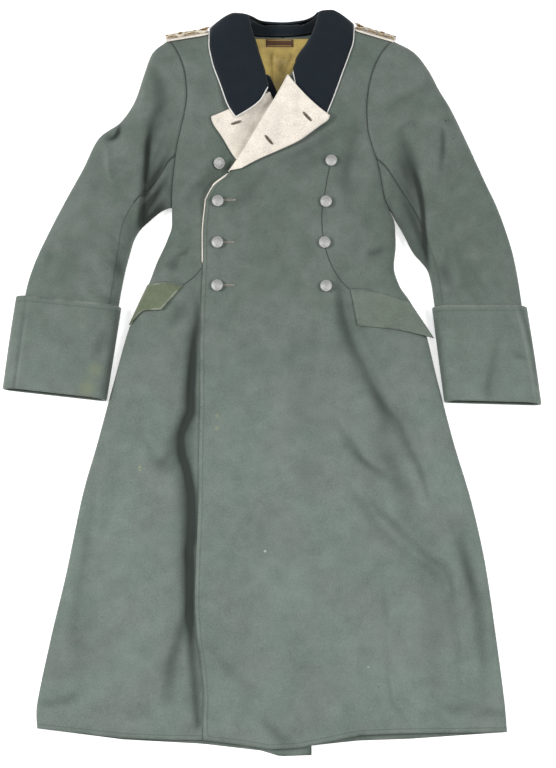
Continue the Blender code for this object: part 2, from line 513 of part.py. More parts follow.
def back_panel(name, side, armhole, line, neck, hem, is_left, outward):
    """One back half: rows from hem to shoulder, columns from the side to the centre."""
    low = sample(side, "x y z", LOW_STEPS)
    low[:, 2] -= GAP
    _, high = armhole_points(armhole, line)
    side_points = np.concatenate((low, high[1:]))
    centre_low = np.column_stack((np.zeros(LOW_ROWS), np.linspace(-0.655, 0.300, LOW_ROWS)))
    if is_left:
        centre_low[:, 0] = CENTRE_BACK + 0.010 * ease((VENT_TOP - centre_low[:, 1]) / 0.03)
    else:
        centre_low[:, 0] = vent_edge(centre_low[:, 1])
    upper = np.array(ARMHOLE_STEPS[1:])
    on_seam = upper <= 0.76
    centre_high = np.zeros((len(upper), 2))
    centre_high[on_seam] = np.column_stack((np.full(on_seam.sum(), neck["x"][0]),
                                            0.300 + 0.331 * upper[on_seam] / 0.76))
    centre_high[~on_seam] = sample(neck, "x y", (upper[~on_seam] - 0.76) / 0.24)
    centre = np.concatenate((centre_low, centre_high))
    rows = len(side_points)
    outer = []
    for r in range(rows):
        start = side_points[r]
        run = centre[r] - start[:2]
        length = np.linalg.norm(run)
        even = np.linspace(SIDE_CURL, length - NEAR_CENTRE[0], 4)
        distance = np.concatenate((NEAR_BACK * SIDE_CURL, even[1:], length - NEAR_CENTRE[1:]))
        x = start[0] + run[0] * distance / length
        y = start[1] + run[1] * distance / length
        y = y + hem_dip(hem, side_points, centre, x, y)
        curl = start[2] * (1 - roll(distance, SIDE_CURL))
        if r >= LOW_ROWS:
            near = 1 - roll(shoulder_distance(line, x, y), SHOULDER_ROLL)
            inside = ease((neck["x"][-1] - x) * -outward / 0.004 + 1)
            curl = np.maximum(curl, (SHOULDER_SEAM - GAP) * near * inside)
        if r == rows - 1:
            curl = np.full(len(x), SHOULDER_SEAM - GAP)
        outer.append(np.column_stack((x, y, np.maximum(curl, back_lift(x, y, is_left)))))
    outer = np.array(outer)
    normal = normals(outer, -1)
    normal[:LOW_ROWS, 0] = (outward, 0, 0)
    normal[LOW_ROWS:, 0] = (0, 0, -1)
    normal[-1, :] = (0, 1, 0)
    return wall(name, outer, outer - WOOL * normal, WOOL_GREEN)


back_panel("back_left", SIDE_LEFT, ARMHOLE_LEFT, SHOULDER_LEFT, NECK_LEFT, HEM_BACK_LEFT, True, 1)
back_panel("back_right", SIDE_RIGHT, ARMHOLE_RIGHT, SHOULDER_RIGHT, NECK_RIGHT, HEM_BACK_RIGHT, False, -1)


def underarm_drop(x, y):
    """How far the underarm lies below the upper sleeve that folds over it."""
    drop = np.zeros(np.shape(x))
    for x0, y0, x1, y1, depth, width, side in zip(*UNDERARM.values()):
        length = math.hypot(x1 - x0, y1 - y0)
        along = ((x - x0) * (x1 - x0) + (y - y0) * (y1 - y0)) / length ** 2
        aside = ((y - y0) * (x1 - x0) - (x - x0) * (y1 - y0)) / length * side
        within = ease((along + 0.1) / 0.3) * ease((1.15 - along) / 0.2)
        near = ease((0.075 - np.abs(aside)) / 0.04)
        drop = drop + depth * ease(-aside / width + 0.5) * within * near
    return drop


def sleeve_rings(stations, armhole, line):
    """Closed rings of points down a sleeve: over the top from the outer edge, back under."""
    front, back = armhole_points(armhole, line)
    steps = np.array(ARMHOLE_STEPS)
    chord = front[0, :2] + (front[-1, :2] - front[0, :2]) * steps[:, None]
    bulge = front[:, :2] - chord
    rings = []
    for outer_x, outer_y, inner_x, inner_y, top, lift, share, seam in zip(*stations.values()):
        outer_end = np.array((outer_x, outer_y))
        inner_end = np.array((inner_x, inner_y))
        width = np.linalg.norm(outer_end - inner_end)
        place = np.interp(steps, (0, steps[SEAM_STEP], 1), (0, seam + (steps[SEAM_STEP] - 0.26), 1))
        plan = inner_end + (outer_end - inner_end) * place[:, None] + share * bulge
        from_inner = place * width
        from_outer = (1 - place) * width
        rise = roll(from_inner, 0.040) * roll(from_outer, 0.050)
        fold = creases(SLEEVE_FOLDS, plan[:, 0], plan[:, 1]) - underarm_drop(plan[:, 0], plan[:, 1])
        high = SLEEVE_EDGE + (top - SLEEVE_EDGE + fold * (1 - share ** 3)) * rise
        high = share ** 2 * front[:, 2] + (1 - share ** 2) * high
        low = lift + (SLEEVE_EDGE - lift) * (1 - roll(from_inner, 0.016) * roll(from_outer, 0.020))
        low = share ** 2 * back[:, 2] + (1 - share ** 2) * low
        over = np.column_stack((plan, high))[::-1]
        under = np.column_stack((plan, low))[1:-1]
        rings.append(np.concatenate((over, under)))
    rings = np.array(rings)
    away = rings[1] - rings[0]
    away[:, 2] = 0
    rings[0] += 0.0006 * unit(away)
    return rings


def sleeve(stations, armhole, line, side):
    """Upper and under sleeve of one side, parted at the front and elbow seams."""
    rings = sleeve_rings(stations, armhole, line)
    count = len(ARMHOLE_STEPS)
    around = rings.shape[1]
    normal = normals(rings, 1, closed=True)
    middle = rings.mean(axis=1, keepdims=True)
    normal *= np.sign(np.sum(normal * (rings - middle), axis=2, keepdims=True).mean(axis=1, keepdims=True))
    normal[0, :count] = (0, 0, 1)
    normal[0, count:] = (0, 0, -1)
    across = unit(rings[0, 0] - rings[0, count - 1]) * (1, 1, 0)
    normal[0, 0] = unit(across)
    normal[0, count - 1] = -unit(across)
    inner = rings - WOOL * normal
    front_seam = count - 1 - SEAM_STEP
    elbow_seam = around - 3
    upper = np.arange(elbow_seam, around + front_seam + 1) % around
    under = np.arange(front_seam, elbow_seam + 1)
    for name, picked in (("upper_sleeve_" + side, upper), ("under_sleeve_" + side, under)):
        faces = []
        for grid in (rings, inner):
            strip = grid[:, picked].copy()
            strip[:, 0] += 0.0002 * unit(strip[:, 1] - strip[:, 0])
            strip[:, -1] += 0.0002 * unit(strip[:, -2] - strip[:, -1])
            faces.append(strip)
        wall(name, faces[0], faces[1], WOOL_GREEN)


sleeve(SLEEVE_LEFT, ARMHOLE_LEFT, SHOULDER_LEFT, "left")
sleeve(SLEEVE_RIGHT, ARMHOLE_RIGHT, SHOULDER_RIGHT, "right")

CUFF_FOOT = 0.0050        # how far the mouth's edge turns in
CUFF_TURNS = (0, 0.015, 0.06, 0.15, 0.32, 0.5, 0.68, 0.85, 0.94, 0.985, 1)


def cuff_ring(rows, share, inset):
    """A closed ring of a cuff at a share of its height, drawn in by an inset."""
    outer_x, outer_y, inner_x, inner_y, top = (through(rows[name], np.array(2 * share)) for name in rows)
    outer_end = np.array((outer_x, outer_y))
    inner_end = np.array((inner_x, inner_y))
    width = np.linalg.norm(outer_end - inner_end)
    place = np.array(CUFF_TURNS)
    shrunk = inset / width + place * (1 - 2 * inset / width)
    plan = inner_end + (outer_end - inner_end) * shrunk[:, None]
    rise = roll(place * width, 0.030) * roll((1 - place) * width, 0.030)
    sink = roll(place * width, 0.014) * roll((1 - place) * width, 0.014)
    high = SLEEVE_EDGE + (top - inset - SLEEVE_EDGE) * rise
    low = inset + (SLEEVE_EDGE - inset) * (1 - sink)
    over = np.column_stack((plan, high))[::-1]
    under = np.column_stack((plan, low))[1:-1]
    return np.concatenate((over, under))


def cuff(name, rows):
    """A turned-back cuff: a wide band whose mouth edge turns in to meet the sleeve."""
    height = math.hypot(rows["inner_x"][0] - rows["inner_x"][-1], rows["inner_y"][0] - rows["inner_y"][-1])
    foot = 1 - CUFF_WALL / height
    outer = [(0, 0), (0.33, 0), (0.66, 0), (0.985, 0), (1, 0.0008), (1, CUFF_FOOT)]
    inner = [(0, 1), (0.33, 1), (0.66, 1), (foot - 0.01, 1), (foot, 1), (foot, CUFF_FOOT / CUFF_WALL)]
    outer_rings = np.array([cuff_ring(rows, share, inset) for share, inset in outer])
    inner_rings = np.array([cuff_ring(rows, share, inset * CUFF_WALL) for share, inset in inner])
    wall(name, outer_rings, inner_rings, WOOL_GREEN, closed=True)


cuff("cuff_left", CUFF_LEFT)
cuff("cuff_right", CUFF_RIGHT)

# Collar
FALL_WALL = 0.002
FALL_STEPS = np.array((0, 0.05, 0.10, 0.16, 0.25, 0.4, 0.6, 0.8, 1))
NECK_CENTRE = np.array((0.018, 0.600))


def curve_through_hull(points, shares):
    """A smooth curve from the first point to the last, drawn towards the two between."""
    start, near, far, end = points
    joint = near + 0.65 * (far - near)
    result = []
    for share in shares:
        a, b, c = (start, near, joint) if share < 0.5 else (joint, far, end)
        t = 2 * share if share < 0.5 else 2 * share - 1
        result.append((1 - t) ** 2 * a + 2 * t * (1 - t) * b + t * t * c)
    return np.array(result)


def collar_stations(count):
    """Seam, fold, bend and edge points at evenly shared places round the collar."""
    at = np.linspace(0, len(COLLAR["fold_x"]) - 1, count)
    values = {name: through(column, at) for name, column in COLLAR.items()}
    return [np.column_stack([values[part + axis] for axis in ("_x", "_y", "_z")])
            for part in ("seam", "fold", "bend", "edge")]


COLLAR_ROWS = 29
seam, fold, bend, edge = collar_stations(COLLAR_ROWS)
inward = np.zeros_like(fold)
inward[:, :2] = unit(NECK_CENTRE - fold[:, :2])
start = fold + 0.0050 * inward - (0, 0, 0.004)
crown = fold + 0.0020 * inward + (0, 0, 0.004)
fall_outer = np.array([curve_through_hull([s, f, b, e], FALL_STEPS)
                       for s, f, b, e in zip(start, crown, bend, edge)])
fall_inner = fall_outer - FALL_WALL * normals(fall_outer, 1)
wall("collar_fall", fall_outer, fall_inner, COLLAR_BLUE)

# The stand rises from the neck seam to just under the fall's fold
steepness = np.abs(np.gradient(fold[:, 2]))[:, None]
stand_top = start + (0.0004 + 1.4 * steepness) * inward - (0, 0, 1) * (0.0020 + 1.2 * steepness)
stand_top = stand_top[1:-1]
seam = seam[1:-1]
stand_outer = stand_top[:, None] + (seam - stand_top)[:, None] * np.linspace(0, 1, 3)[None, :, None]
wall("collar_stand", stand_outer, stand_outer - FACING * normals(stand_outer, 1), COLLAR_BLUE)


def surface(grid, beyond):
    """A function giving the height of a grid of points at any place, and another beyond it."""
    rows, columns, _ = grid.shape
    corners = []
    for r in range(rows - 1):
        for c in range(columns - 1):
            near = r * columns + c
            far = near + columns
            corners.append((near, near + 1, far + 1))
            corners.append((near, far + 1, far))
    tree = BVHTree.FromPolygons([tuple(point) for point in grid.reshape(-1, 3)], corners, all_triangles=True)

    def height_at(x, y):
        hit = tree.ray_cast((x, y, 1.0), (0, 0, -1))[0]
        return hit.z if hit else float(beyond(x, y))

    def heights(xs, ys):
        found = [height_at(x, y) for x, y in zip(np.ravel(xs), np.ravel(ys))]
        return np.reshape(found, np.shape(xs))

    return heights


on_left = surface(left_grid, plateau)
on_right = surface(right_grid, right_plateau)

# Lapels: the body cloth turned over, and the stone facing that rolls round the fold
LAPEL_ROWS = 10
LAPEL_STATIONS = np.array((0.11, 0.23, 0.35, 0.48, 0.61, 0.74, 0.87))
LAPEL_END = 0.97           # share of the fold where the lapel runs out at the break
FOLD_RADIUS = 0.0035
LAPEL_GAP = 0.0005         # between the underside and the facing
TUCK_GAP = {"left": 0.0009, "right": 0.0020}   # between a front and the facing tucked under it
INSIDE_FOLD = 0.003        # where the front's height is read beside its folded edge


def lapel(side, table_rows, height):
    """Underside and facing of one lapel, lying on its own front."""
    shares = np.linspace(0, LAPEL_END, LAPEL_ROWS)
    fold_line = sample(table_rows, "fold_x fold_y", shares)
    edge_line = sample(table_rows, "edge_x edge_y", shares)
    lift = through(table_rows["lift"], shares * (len(table_rows["lift"]) - 1))
    under, facing = [], []
    for r in range(LAPEL_ROWS):
        run = edge_line[r] - fold_line[r]
        width = np.linalg.norm(run)
        places = np.concatenate(([0.0015 / width], LAPEL_STATIONS, [1]))
        plan = fold_line[r] + run * places[:, None]
        bearing = fold_line[r] + run * np.maximum(places, INSIDE_FOLD / width)[:, None]
        base = height(bearing[:, 0], bearing[:, 1]) + GAP + lift[r] + FACING
        under.append(np.column_stack((plan, base)))
        near_fold = height(*(fold_line[r] + INSIDE_FOLD * run / width))
        on_top = near_fold + GAP + lift[r] + LAPEL_GAP + 2 * FACING
        below = near_fold - WOOL - TUCK_GAP[side] - FACING
        tucked = fold_line[r] + run * min(LAPEL_WRAP / width, 0.8)
        points = [(*tucked, height(*tucked) - WOOL - TUCK_GAP[side] - FACING), (*fold_line[r], below)]
        middle = (on_top + below) / 2
        for turn in (-45, 0, 45):
            out = fold_line[r] - run / width * FOLD_RADIUS * math.cos(math.radians(turn))
            points.append((*out, middle + (on_top - below) / 2 * math.sin(math.radians(turn))))
        points.append((*fold_line[r], on_top))
        for share in (*LAPEL_STATIONS, 1 - 0.0010 / width):
            place = fold_line[r] + run * share
            points.append((*place, height(*place) + GAP + lift[r] + LAPEL_GAP + 2 * FACING))
        facing.append(points)
    under = np.array(under)
    facing = np.array(facing, float)
    facing[0, :, :2] += 0.0010 * unit(facing[1, :, :2] - facing[0, :, :2])
    wall("lapel_" + side, under, under - (0, 0, FACING), WOOL_GREEN)
    wall("facing_" + side, facing, facing - FACING * normals(facing, 1), STONE)


lapel("left", LAPEL_LEFT, on_left)
lapel("right", LAPEL_RIGHT, on_right)

# Pocket flaps, lying on the fronts and rounding over the sides
FLAP_WALL = 0.0022
FLAP_GAP = 0.0010
FLAP_OVERHANG = {"left": 0.015, "right": 0.004}


def flap(side, rows, height, outward):
    """A pocket flap whose lower edge lifts off the front."""
    ends = len(rows["lift"]) - 1
    grid = []
    for v in np.linspace(0, 1, 5):
        line = []
        for u in np.linspace(0, 1, 8):
            top_x, top_y, low_x, low_y, lift = (through(rows[name], np.array(u * ends)) for name in rows)
            x = top_x + (low_x - top_x) * v
            y = top_y + (low_y - top_y) * v
            shift = outward * FLAP_OVERHANG[side] * u
            z = height(x - shift, y) + FLAP_GAP + FLAP_WALL + lift * v * v
            line.append((x, y, z))
        grid.append(line)
    grid = np.array(grid, float)
    wall("flap_" + side, grid, grid - (0, 0, FLAP_WALL), FLAP_GREEN)


flap("left", FLAP_LEFT, on_left, 1)
flap("right", FLAP_RIGHT, on_right, -1)

BUTTON_GAP = 0.0005        # thread between the shank and the cloth

# Buttons: radius and height of a domed button on its shank, from the cloth up
BUTTON_PROFILE = ((0.28, 0), (0.28, 0.0036), (0.94, 0.0038), (1, 0.0050), (0.66, 0.0072), (0, 0.0078))


def button(name, place, normal, radius, material, sides=10):
    """A domed button turned on its axis, standing on the cloth."""
    bm = bmesh.new()
    rings = []
    for share, height in BUTTON_PROFILE[:-1]:
        rings.append([bm.verts.new((share * radius * math.cos(math.tau * k / sides),
                                    share * radius * math.sin(math.tau * k / sides),
                                    height * radius / BUTTON_RADIUS)) for k in range(sides)])
    tip = bm.verts.new((0, 0, BUTTON_PROFILE[-1][1] * radius / BUTTON_RADIUS))
    for first, second in zip(rings, rings[1:]):
        for k in range(sides):
            bm.faces.new((first[k - 1], first[k], second[k], second[k - 1]))
    bm.faces.new(rings[0])
    for k in range(sides):
        bm.faces.new((rings[-1][k - 1], rings[-1][k], tip))
    piece = add_object(name, bm, material)
    piece.location = place
    piece.rotation_euler = Vector(normal).to_track_quat("Z", "Y").to_euler()
    return piece


for name, x, y, side in BUTTONS:
    height = on_left if side == "left" else on_right
    reach = 0.006
    z = float(height(x, y))
    slope_x = float(height(x + reach, y) - height(x - reach, y)) / (2 * reach)
    slope_y = float(height(x, y + reach) - height(x, y - reach)) / (2 * reach)
    tilt = Vector((-slope_x, -slope_y, 1)).normalized()
    turns = np.linspace(0, math.tau, 9)[:-1]
    foot_x = BUTTON_PROFILE[0][0] * BUTTON_RADIUS * np.cos(turns)
    foot_y = BUTTON_PROFILE[0][0] * BUTTON_RADIUS * np.sin(turns)
    swell = np.max(height(x + foot_x, y + foot_y) - z - slope_x * foot_x - slope_y * foot_y)
    button(name, Vector((x, y, z)) + tilt * (BUTTON_GAP + max(0, swell)), tilt, BUTTON_RADIUS, GREY_METAL)

# Shoulder boards: a padded underlay, a plaited cord over it and a small button
BOARDS = {"left": {"line": SHOULDER_LEFT, "neck": 0.1590, "tip": 0.2260},
          "right": {"line": SHOULDER_RIGHT, "neck": -0.1235, "tip": -0.1960}}
BOARD_WALL = 0.0025
PLAIT_WALL = 0.0022
PLAIT_RELIEF = 0.0016
BOARD_SHARES = np.linspace(0, 1, 5)
BOARD_BACK = 0.0135       # how far the board reaches forward of where it bears


def board_frame(line, x):
    """A point where a board bears on the shoulder roll, and its three directions."""
    along = unit(np.array((1.0, line["slope"], 0)))
    back = np.array((-along[1], along[0], 0))
    rise = plateau(0, 0.61) - SHOULDER_SEAM
    turn = math.atan2(math.sin(BOARD_SLOPE) * SHOULDER_ROLL, math.cos(BOARD_SLOPE) * rise)
    seam_point = np.array((x, line["y"] + line["slope"] * (x - line["x"]), 0))
    bearing = seam_point + back * SHOULDER_ROLL * (math.sin(turn) - 1)
    bearing[2] = SHOULDER_SEAM + rise * math.cos(turn)
    down = math.cos(BOARD_SLOPE) * back - np.array((0, 0, math.sin(BOARD_SLOPE)))
    out = math.sin(BOARD_SLOPE) * back + np.array((0, 0, math.cos(BOARD_SLOPE)))
    return bearing, along, down, out


def board_grid(line, neck, tip, clearance, inset, stations):
    """Points over a board: rows from its square sleeve end to its round neck end."""
    rows = []
    for share in np.linspace(0, 1, stations):
        bearing, along, down, out = board_frame(line, tip + (neck - tip) * share)
        nose = 0.010 * np.sign(neck - tip) * ease((share - 0.6) / 0.4)
        half = BOARD_WIDTH / 2 - inset
        narrow = math.sqrt(max(0.06, 1 - (max(0, share - 0.80) / 0.215) ** 2))
        centre = BOARD_WIDTH / 2 - BOARD_BACK
        rows.append([bearing + along * nose + down * (centre + half * (2 * q - 1) * narrow) + out * clearance
                     for q in BOARD_SHARES])
    return np.array(rows), out


for side, board in BOARDS.items():
    line, neck, tip = board.values()
    base, out = board_grid(line, neck, tip, GAP + BOARD_WALL, 0, 8)
    wall("board_" + side, base, base - out * BOARD_WALL, STONE)
    level = GAP + BOARD_WALL + GAP
    shares = np.linspace(0, 1, 17)
    low, out = board_grid(line, neck, tip, level, 0.003, len(shares))
    waves = np.abs(np.sin(math.tau * 2 * shares))[:, None]
    lobes = np.abs(np.cos(math.pi * (BOARD_SHARES - 0.5) * 2))[None, :]
    relief = PLAIT_RELIEF * np.abs(waves - lobes)
    relief[:, (0, -1)] = 0.3 * PLAIT_RELIEF
    top = low + out * (PLAIT_WALL + relief[..., None])
    wall("plait_" + side, top, low, SILVER_CORD)
    place = low[-3, 2] + out * (PLAIT_WALL + BUTTON_GAP)
    button("board_button_" + side, place, out, 0.0060, GILT)

# Piping round the collar's edge, and the pale edge of the facing down the front
PIPING_RADIUS = 0.0011
PIPING_REACH = PIPING_RADIUS + GAP
fall_middle = (fall_outer + fall_inner) / 2
CROWN_COLUMN = 3


def beyond_rim(line, before):
    """Steps out from a rim, square to it and in the plane of the cloth before it."""
    along = unit(np.gradient(line, axis=0))
    out = line - before
    out = out - along * np.sum(out * along, axis=1, keepdims=True)
    return PIPING_REACH * unit(out)


right_end = fall_middle[0] + beyond_rim(fall_middle[0], fall_middle[1])
left_end = fall_middle[-1] + beyond_rim(fall_middle[-1], fall_middle[-2])
right_end = right_end[CROWN_COLUMN:]
left_end = left_end[CROWN_COLUMN:]
away = beyond_rim(fall_middle[:, -1], fall_middle[:, -2])
rim = fall_middle[:, -1] + away
right_tip = right_end[-1:] + away[:1]
left_tip = left_end[-1:] + away[-1:]
piping = np.concatenate((right_end, right_tip, rim, left_tip, left_end[::-1]))
piping[:, 2] = np.maximum(piping[:, 2], PIPING_RADIUS)
tube("collar_piping", piping, PIPING_RADIUS, 6, WHITE)

FRONT_PIPING_LOW = 0.186  # how far down the front the pale edge shows
edge_line = left_grid[:, -1]
shown = (edge_line[:, 1] > FRONT_PIPING_LOW) & (edge_line[:, 1] < LAPEL_LEFT["fold_y"][-1] - 0.006)
path = edge_line[shown] - (0, 0, WOOL / 2)
reach = np.gradient(path, axis=0)[:, (1, 0, 2)] * (-1, 1, 0)
tube("front_piping", path + PIPING_REACH * unit(reach), PIPING_RADIUS, 6, WHITE)

# Lining of the back inside the neck, and the maker's tab on it
LINING = table("y right left rise", (0.400, -0.100, 0.130, 0), (0.490, -0.098, 0.126, 0),
               (0.520, -0.094, 0.122, 0.0034), (0.570, -0.088, 0.117, 0.0036), (0.600, -0.074, 0.104, 0.0036),
               (0.628, -0.054, 0.086, 0.0036))
satin = []
for y, right, left, rise in zip(*LINING.values()):
    x = np.linspace(right, left, 6)
    satin.append(np.column_stack((x, np.full(6, y), np.full(6, rise + WOOL + GAP + SATIN))))
satin = np.array(satin)
wall("lining", satin, satin - (0, 0, SATIN), GOLD_SATIN)

LABEL = {"x": (-0.012, 0.039), "y": (0.611, 0.6265), "thick": 0.0006}
level = satin[-1, 0, 2] + GAP + LABEL["thick"]
tab = np.array([[(x, y, level) for x in LABEL["x"]] for y in LABEL["y"]])
wall("label", tab, tab - (0, 0, LABEL["thick"]), LABEL_BROWN)
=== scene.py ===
import math

import bmesh
import bpy
import numpy as np
from mathutils import Matrix, Vector
from mathutils.bvhtree import BVHTree


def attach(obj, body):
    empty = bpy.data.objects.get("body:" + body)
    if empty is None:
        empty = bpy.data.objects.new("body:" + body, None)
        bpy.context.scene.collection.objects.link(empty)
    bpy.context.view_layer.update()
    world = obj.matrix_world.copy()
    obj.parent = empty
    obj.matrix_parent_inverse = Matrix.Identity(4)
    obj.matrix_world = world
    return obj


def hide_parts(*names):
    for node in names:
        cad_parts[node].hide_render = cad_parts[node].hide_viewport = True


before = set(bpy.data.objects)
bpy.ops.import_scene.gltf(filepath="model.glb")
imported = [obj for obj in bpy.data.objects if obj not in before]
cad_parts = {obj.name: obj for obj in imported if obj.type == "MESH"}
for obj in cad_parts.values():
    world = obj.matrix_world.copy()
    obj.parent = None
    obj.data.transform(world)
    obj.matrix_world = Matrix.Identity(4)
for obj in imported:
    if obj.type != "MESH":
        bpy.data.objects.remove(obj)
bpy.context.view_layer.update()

# Camera, floor and light: the coat lies on a plain pale floor under large soft lights,
# seen from above and a little from its hem.
TARGET = Vector((0.0105, -0.034, 0.02))
DISTANCE = 2.40
ELEVATION = math.radians(78)

scene = bpy.context.scene
scene.view_settings.view_transform = "Standard"
lens = bpy.data.cameras.new("camera")
lens.sensor_fit = "VERTICAL"
lens.sensor_height = 36
lens.sensor_width = 36
lens.lens = 64
camera = bpy.data.objects.new("camera", lens)
camera.location = TARGET + DISTANCE * Vector((0, -math.cos(ELEVATION), math.sin(ELEVATION)))
camera.rotation_euler = (math.pi / 2 - ELEVATION, 0, 0)
bpy.context.collection.objects.link(camera)
scene.camera = camera


def area_light(name, place, size, power):
    """A large soft light that faces the middle of the coat."""
    data = bpy.data.lights.new(name, "AREA")
    data.shape = "DISK"
    data.size = size
    data.energy = power
    lamp = bpy.data.objects.new(name, data)
    lamp.location = place
    lamp.rotation_euler = (Vector((0, 0, 0)) - Vector(place)).to_track_quat("-Z", "Y").to_euler()
    bpy.context.collection.objects.link(lamp)


area_light("key", (-3.0, 0.1, 2.4), 1.2, 96)
area_light("fill", (2.4, -0.2, 2.6), 1.6, 62)
area_light("top", (0.1, -0.2, 3.4), 2.6, 22)
world = bpy.data.worlds.new("soft_room")
world.use_nodes = True
world.node_tree.nodes["Background"].inputs["Color"].default_value = (1, 1, 1, 1)
world.node_tree.nodes["Background"].inputs["Strength"].default_value = 0.26
scene.world = world


def put(tree, kind, sockets, **settings):
    """A shader node with its settings, its plain values and its links."""
    made = tree.nodes.new(kind)
    for key, value in settings.items():
        setattr(made, key, value)
    for key, value in sockets.items():
        if isinstance(value, bpy.types.NodeSocket):
            tree.links.new(value, made.inputs[key])
        else:
            made.inputs[key].default_value = value
    return made


def maths(tree, operation, a, b=0.0):
    """One sum of two values."""
    return put(tree, "ShaderNodeMath", {0: a, 1: b}, operation=operation).outputs[0]


def grain(tree, vector, scale, detail=2.0):
    """Soft noise between 0 and 1, with a number of lumps to the metre."""
    return put(tree, "ShaderNodeTexNoise", {"Vector": vector, "Scale": scale, "Detail": detail}).outputs[0]


def spread(tree, value, low, high, to_low=0.0, to_high=1.0):
    """A value brought from one range to another, with soft ends."""
    sockets = {"Value": value, "From Min": low, "From Max": high, "To Min": to_low, "To Max": to_high}
    return put(tree, "ShaderNodeMapRange", sockets, interpolation_type="SMOOTHSTEP").outputs[0]


def mixed(tree, share, a, b, blend="MIX"):
    """Two colours mixed by a share."""
    return put(tree, "ShaderNodeMix", {0: share, 6: a, 7: b}, data_type="RGBA", blend_type=blend).outputs[2]


def new_material(name, roughness, **fixed):
    """A material, its node tree and its shader, with values set on the shader."""
    material = bpy.data.materials.new(name)
    material.use_nodes = True
    shader = material.node_tree.nodes["Principled BSDF"]
    shader.inputs["Roughness"].default_value = roughness
    for socket, value in fixed.items():
        shader.inputs[socket.replace("_", " ")].default_value = value
    return material, material.node_tree, shader


def group(name, given, result):
    """A shader node group with named sockets."""
    tree = bpy.data.node_groups.new(name, "ShaderNodeTree")
    for socket, kind in given:
        tree.interface.new_socket(socket, in_out="INPUT", socket_type="NodeSocket" + kind)
    for socket, kind in result:
        tree.interface.new_socket(socket, in_out="OUTPUT", socket_type="NodeSocket" + kind)
    return tree, tree.nodes.new("NodeGroupInput").outputs, tree.nodes.new("NodeGroupOutput").inputs


floor_material, tree, shader = new_material("pale_floor", 0.9, Specular_IOR_Level=0.1)
spot = put(tree, "ShaderNodeTexCoord", {}).outputs["Object"]
tree.links.new(mixed(tree, grain(tree, spot, 3.0), (0.90, 0.90, 0.90, 1), (0.94, 0.94, 0.94, 1)),
               shader.inputs["Base Color"])
shader.inputs["Emission Color"].default_value = (1, 1, 1, 1)
shader.inputs["Emission Strength"].default_value = 0.50
bm = bmesh.new()
bmesh.ops.create_grid(bm, x_segments=8, y_segments=8, size=6)
bmesh.ops.translate(bm, verts=bm.verts, vec=(0, 0, -0.0006))
mesh = bpy.data.meshes.new("floor")
bm.to_mesh(mesh)
bm.free()
mesh.materials.append(floor_material)
floor = bpy.data.objects.new("floor", mesh)
bpy.context.collection.objects.link(floor)

# Fronts: two panels of heavy grey-green wool. The left front laps over the right one, and
# each runs from its side seam round the roll of the side to its free edge. The cloth is a
# fulled twill, its long soft folds are pressed in by years of folding.
WOOL = 0.002
FACING = 0.0015
SATIN = 0.001
GAP = 0.0003
SIDE_ROLL = 0.045
SIDE_CURL = 0.022
SHOULDER_SEAM = 0.022
SHOULDER_ROLL = 0.022
SKIRT_ROWS = 170
SKIRT_STEPS = np.linspace(0, 1, SKIRT_ROWS)


def fine_steps(coarse, parts):
    """Each span of a list of shares cut into equal parts."""
    spans = [np.linspace(a, b, parts + 1)[:-1] for a, b in zip(coarse, coarse[1:])]
    return np.concatenate((*spans, [coarse[-1]]))


ARMHOLE_STEPS = fine_steps((0, 0.03, 0.08, 0.17, 0.28, 0.40, 0.52, 0.64, 0.76, 0.87, 0.94, 0.98, 1), 5)


def table(columns, *rows):
    """One array for each named column."""
    return dict(zip(columns.split(), np.array(rows, float).T))


def ease(share):
    """0 to 1 with soft ends."""
    share = np.clip(share, 0, 1)
    return share * share * (3 - 2 * share)


def roll(distance, width):
    """0 at an edge, rising to 1 over a quarter ellipse of the given width."""
    share = np.clip(np.asarray(distance) / width, 0, 1)
    return np.sqrt(1 - (1 - share) ** 2)


def through(values, at):
    """A smooth curve through values at 0, 1, 2 ... that never overshoots them."""
    step = np.diff(values)
    slope = np.concatenate(([step[0]], np.zeros(len(values) - 2), [step[-1]]))
    product = step[:-1] * step[1:]
    total = step[:-1] + step[1:]
    slope[1:-1] = np.where(product > 0, 2 * product / np.where(total == 0, 1, total), 0)
    low = np.clip(np.floor(at).astype(int), 0, len(values) - 2)
    t = at - low
    return (values[low] * (1 + 2 * t) * (1 - t) ** 2 + slope[low] * t * (1 - t) ** 2
            + values[low + 1] * t * t * (3 - 2 * t) + slope[low + 1] * t * t * (t - 1))


def sample(rows, names, shares):
    """Points at shares of the length of the smooth curve through a table's rows."""
    columns = [rows[name] for name in names.split()]
    fine = np.linspace(0, len(columns[0]) - 1, 60 * len(columns[0]))
    curve = np.stack([through(column, fine) for column in columns], axis=1)
    length = np.concatenate(([0], np.cumsum(np.linalg.norm(np.diff(curve, axis=0), axis=1))))
    at = np.interp(np.asarray(shares) * length[-1], length, fine)
    return np.stack([through(column, at) for column in columns], axis=1)


MM = 0.001
CREASE_STEPS = 14      # places worked out between two points of a crease


def creases(folds, x, y):
    """Height of soft ridges and troughs, each a row of a fold table."""
    height = np.zeros(np.shape(x))
    for x0, y0, x1, y1, bow, width, rise in zip(*folds.values()):
        length = math.hypot(x1 - x0, y1 - y0)
        along = ((x - x0) * (x1 - x0) + (y - y0) * (y1 - y0)) / length ** 2
        aside = ((y - y0) * (x1 - x0) - (x - x0) * (y1 - y0)) / length
        aside = aside - bow * 4 * along * (1 - along)
        height = height + rise * ease(along / 0.25) * ease((1 - along) / 0.25) * np.exp(-(aside / width) ** 2)
    return height


